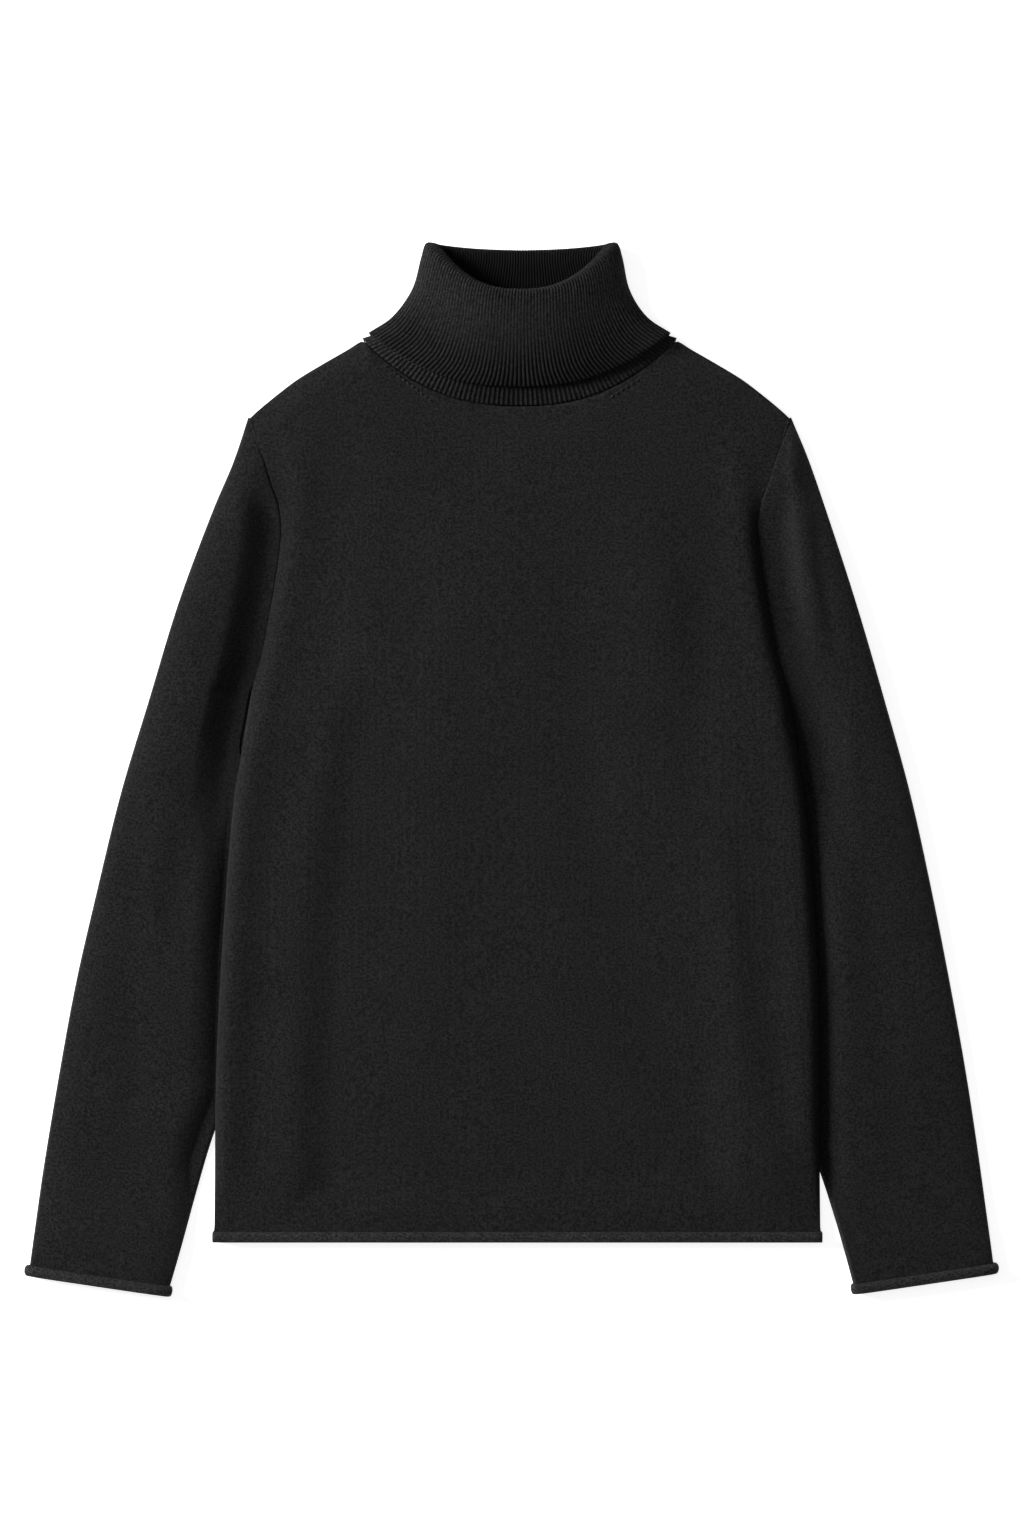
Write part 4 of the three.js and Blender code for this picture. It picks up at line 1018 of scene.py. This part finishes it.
class SweaterColours(bpy.types.PropertyGroup):
    """Colours of the yarn and the stage."""

    yarn: bpy.props.FloatVectorProperty(
        name="Yarn", description="Colour of the knit", subtype="COLOR",
        default=(0.0165, 0.0165, 0.0165),
    )
    # The collar is the same yarn, a little darker: painted shade of its ribs and fall
    collar: bpy.props.FloatVectorProperty(
        name="Collar", description="Colour of the ribbed collar", subtype="COLOR",
        default=(0.0156, 0.0156, 0.0156),
    )
    floor: bpy.props.FloatVectorProperty(
        name="Floor", description="Colour of the floor", subtype="COLOR",
        default=(0.92, 0.92, 0.92),
    )


def area_light(name, place, size, power):
    """A soft rectangular light that faces the middle of the sweater."""
    light = bpy.data.lights.new(name, "AREA")
    light.shape = "RECTANGLE"
    light.size, light.size_y = size
    light.energy = power
    lamp = bpy.data.objects.new(name, light)
    lamp.location = place
    direction = -np.array(place, float)
    lamp.rotation_mode = "QUATERNION"
    lamp.rotation_quaternion = Vector(direction).to_track_quat("-Z", "Y")
    bpy.context.scene.collection.objects.link(lamp)


class SWEATER_OT_stage(bpy.types.Operator):
    """Add the pale floor, the soft lights and the camera that looks straight down"""

    bl_idname = "sweater.stage"
    bl_label = "Stage"

    def execute(self, context):
        colours = context.scene.sweater_colours
        mesh = bpy.data.meshes.new("floor")
        turns = ((-1, -1), (1, -1), (1, 1), (-1, 1))
        corners = [(x * FLOOR_REACH, y * FLOOR_REACH, -FLOOR_DROP) for x, y in turns]
        mesh.from_pydata(corners, [], [(0, 1, 2, 3)])
        mesh.materials.append(glowing_paper("floor_paper", colours.floor, FLOOR_GLOW))
        floor = bpy.data.objects.new("floor", mesh)
        context.scene.collection.objects.link(floor)

        for name, light in LIGHTS.items():
            area_light(name, *light)
        world = bpy.data.worlds.new("studio")
        world.use_nodes = True
        world.node_tree.nodes["Background"].inputs[0].default_value = (1, 1, 1, 1)
        world.node_tree.nodes["Background"].inputs[1].default_value = WORLD_GLOW
        context.scene.world = world
        context.scene.view_settings.view_transform = "Standard"

        camera = bpy.data.objects.new("camera", bpy.data.cameras.new("camera"))
        camera.data.lens = LENS
        camera.data.sensor_width = SENSOR
        camera.location = (*CAMERA_SHIFT, FRAME_HEIGHT * LENS / SENSOR + LEVEL_SEEN)
        context.scene.collection.objects.link(camera)
        context.scene.camera = camera
        return {"FINISHED"}


def yarn(context, name, colour, depth):
    """The knit material in the scene's sizes."""
    sizes = context.scene.sweater_sizes
    return wool(name, colour, sizes.wale, sizes.course, depth)


class SWEATER_OT_back(bpy.types.Operator):
    """Add the back panel with its rolled hem"""

    bl_idname = "sweater.back"
    bl_label = "Back"

    def execute(self, context):
        colours = context.scene.sweater_colours
        piece = back_piece(yarn(context, "back_wool", colours.yarn, BODY_DEPTH))
        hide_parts("back")
        return {"FINISHED"}


class SWEATER_OT_front(bpy.types.Operator):
    """Add the front panel with its folds and rolled hem"""

    bl_idname = "sweater.front"
    bl_label = "Front"

    def execute(self, context):
        colours = context.scene.sweater_colours
        material = yarn(context, "front_wool", colours.yarn, BODY_DEPTH)
        piece = front_piece(material)
        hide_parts("front")
        for side, ends in MARK_ROWS.items():
            mark_row("fashioning_marks_" + side, ends, piece, material)
        return {"FINISHED"}


class SWEATER_OT_sleeves(bpy.types.Operator):
    """Add both sleeves with their rolled cuffs"""

    bl_idname = "sweater.sleeves"
    bl_label = "Sleeves"

    def execute(self, context):
        colours = context.scene.sweater_colours
        for side, sign in (("left", -1), ("right", 1)):
            name = "sleeve_" + side
            material = yarn(context, name + "_wool", colours.yarn, BODY_DEPTH)
            piece = sleeve_piece(side, sign, material)
            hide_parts(name)
            cord("armhole_seam_" + side, seam_path(sign), SEAM_RADIUS, material)
        return {"FINISHED"}


class SWEATER_OT_collar(bpy.types.Operator):
    """Add the folded ribbed collar"""

    bl_idname = "sweater.collar"
    bl_label = "Collar"

    def execute(self, context):
        colours = context.scene.sweater_colours
        material = yarn(context, "collar_wool", colours.collar, COLLAR_DEPTH)
        piece = collar_piece(context.scene.sweater_sizes, material)
        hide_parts("collar")
        return {"FINISHED"}


OPERATORS = (
    SWEATER_OT_stage, SWEATER_OT_back, SWEATER_OT_front, SWEATER_OT_sleeves, SWEATER_OT_collar,
)


class SWEATER_PT_panel(bpy.types.Panel):
    """Lists the steps that build the sweater"""

    bl_idname = "SWEATER_PT_panel"
    bl_label = "Sweater"
    bl_space_type = "VIEW_3D"
    bl_region_type = "UI"
    bl_category = "Sweater"

    def draw(self, context):
        for operator in OPERATORS:
            self.layout.operator(operator.bl_idname)


CLASSES = (SweaterSizes, SweaterColours, *OPERATORS, SWEATER_PT_panel)


def register():
    """Adds the classes and the scene's settings."""
    for cls in CLASSES:
        bpy.utils.register_class(cls)
    bpy.types.Scene.sweater_sizes = bpy.props.PointerProperty(type=SweaterSizes)
    bpy.types.Scene.sweater_colours = bpy.props.PointerProperty(type=SweaterColours)


def unregister():
    """Takes them away again."""
    del bpy.types.Scene.sweater_colours
    del bpy.types.Scene.sweater_sizes
    for cls in reversed(CLASSES):
        bpy.utils.unregister_class(cls)


def main():
    """Builds the stage and every piece."""
    register()
    bpy.ops.sweater.stage()
    bpy.ops.sweater.back()
    bpy.ops.sweater.front()
    bpy.ops.sweater.sleeves()
    bpy.ops.sweater.collar()


if __name__ == "__main__":
    main()
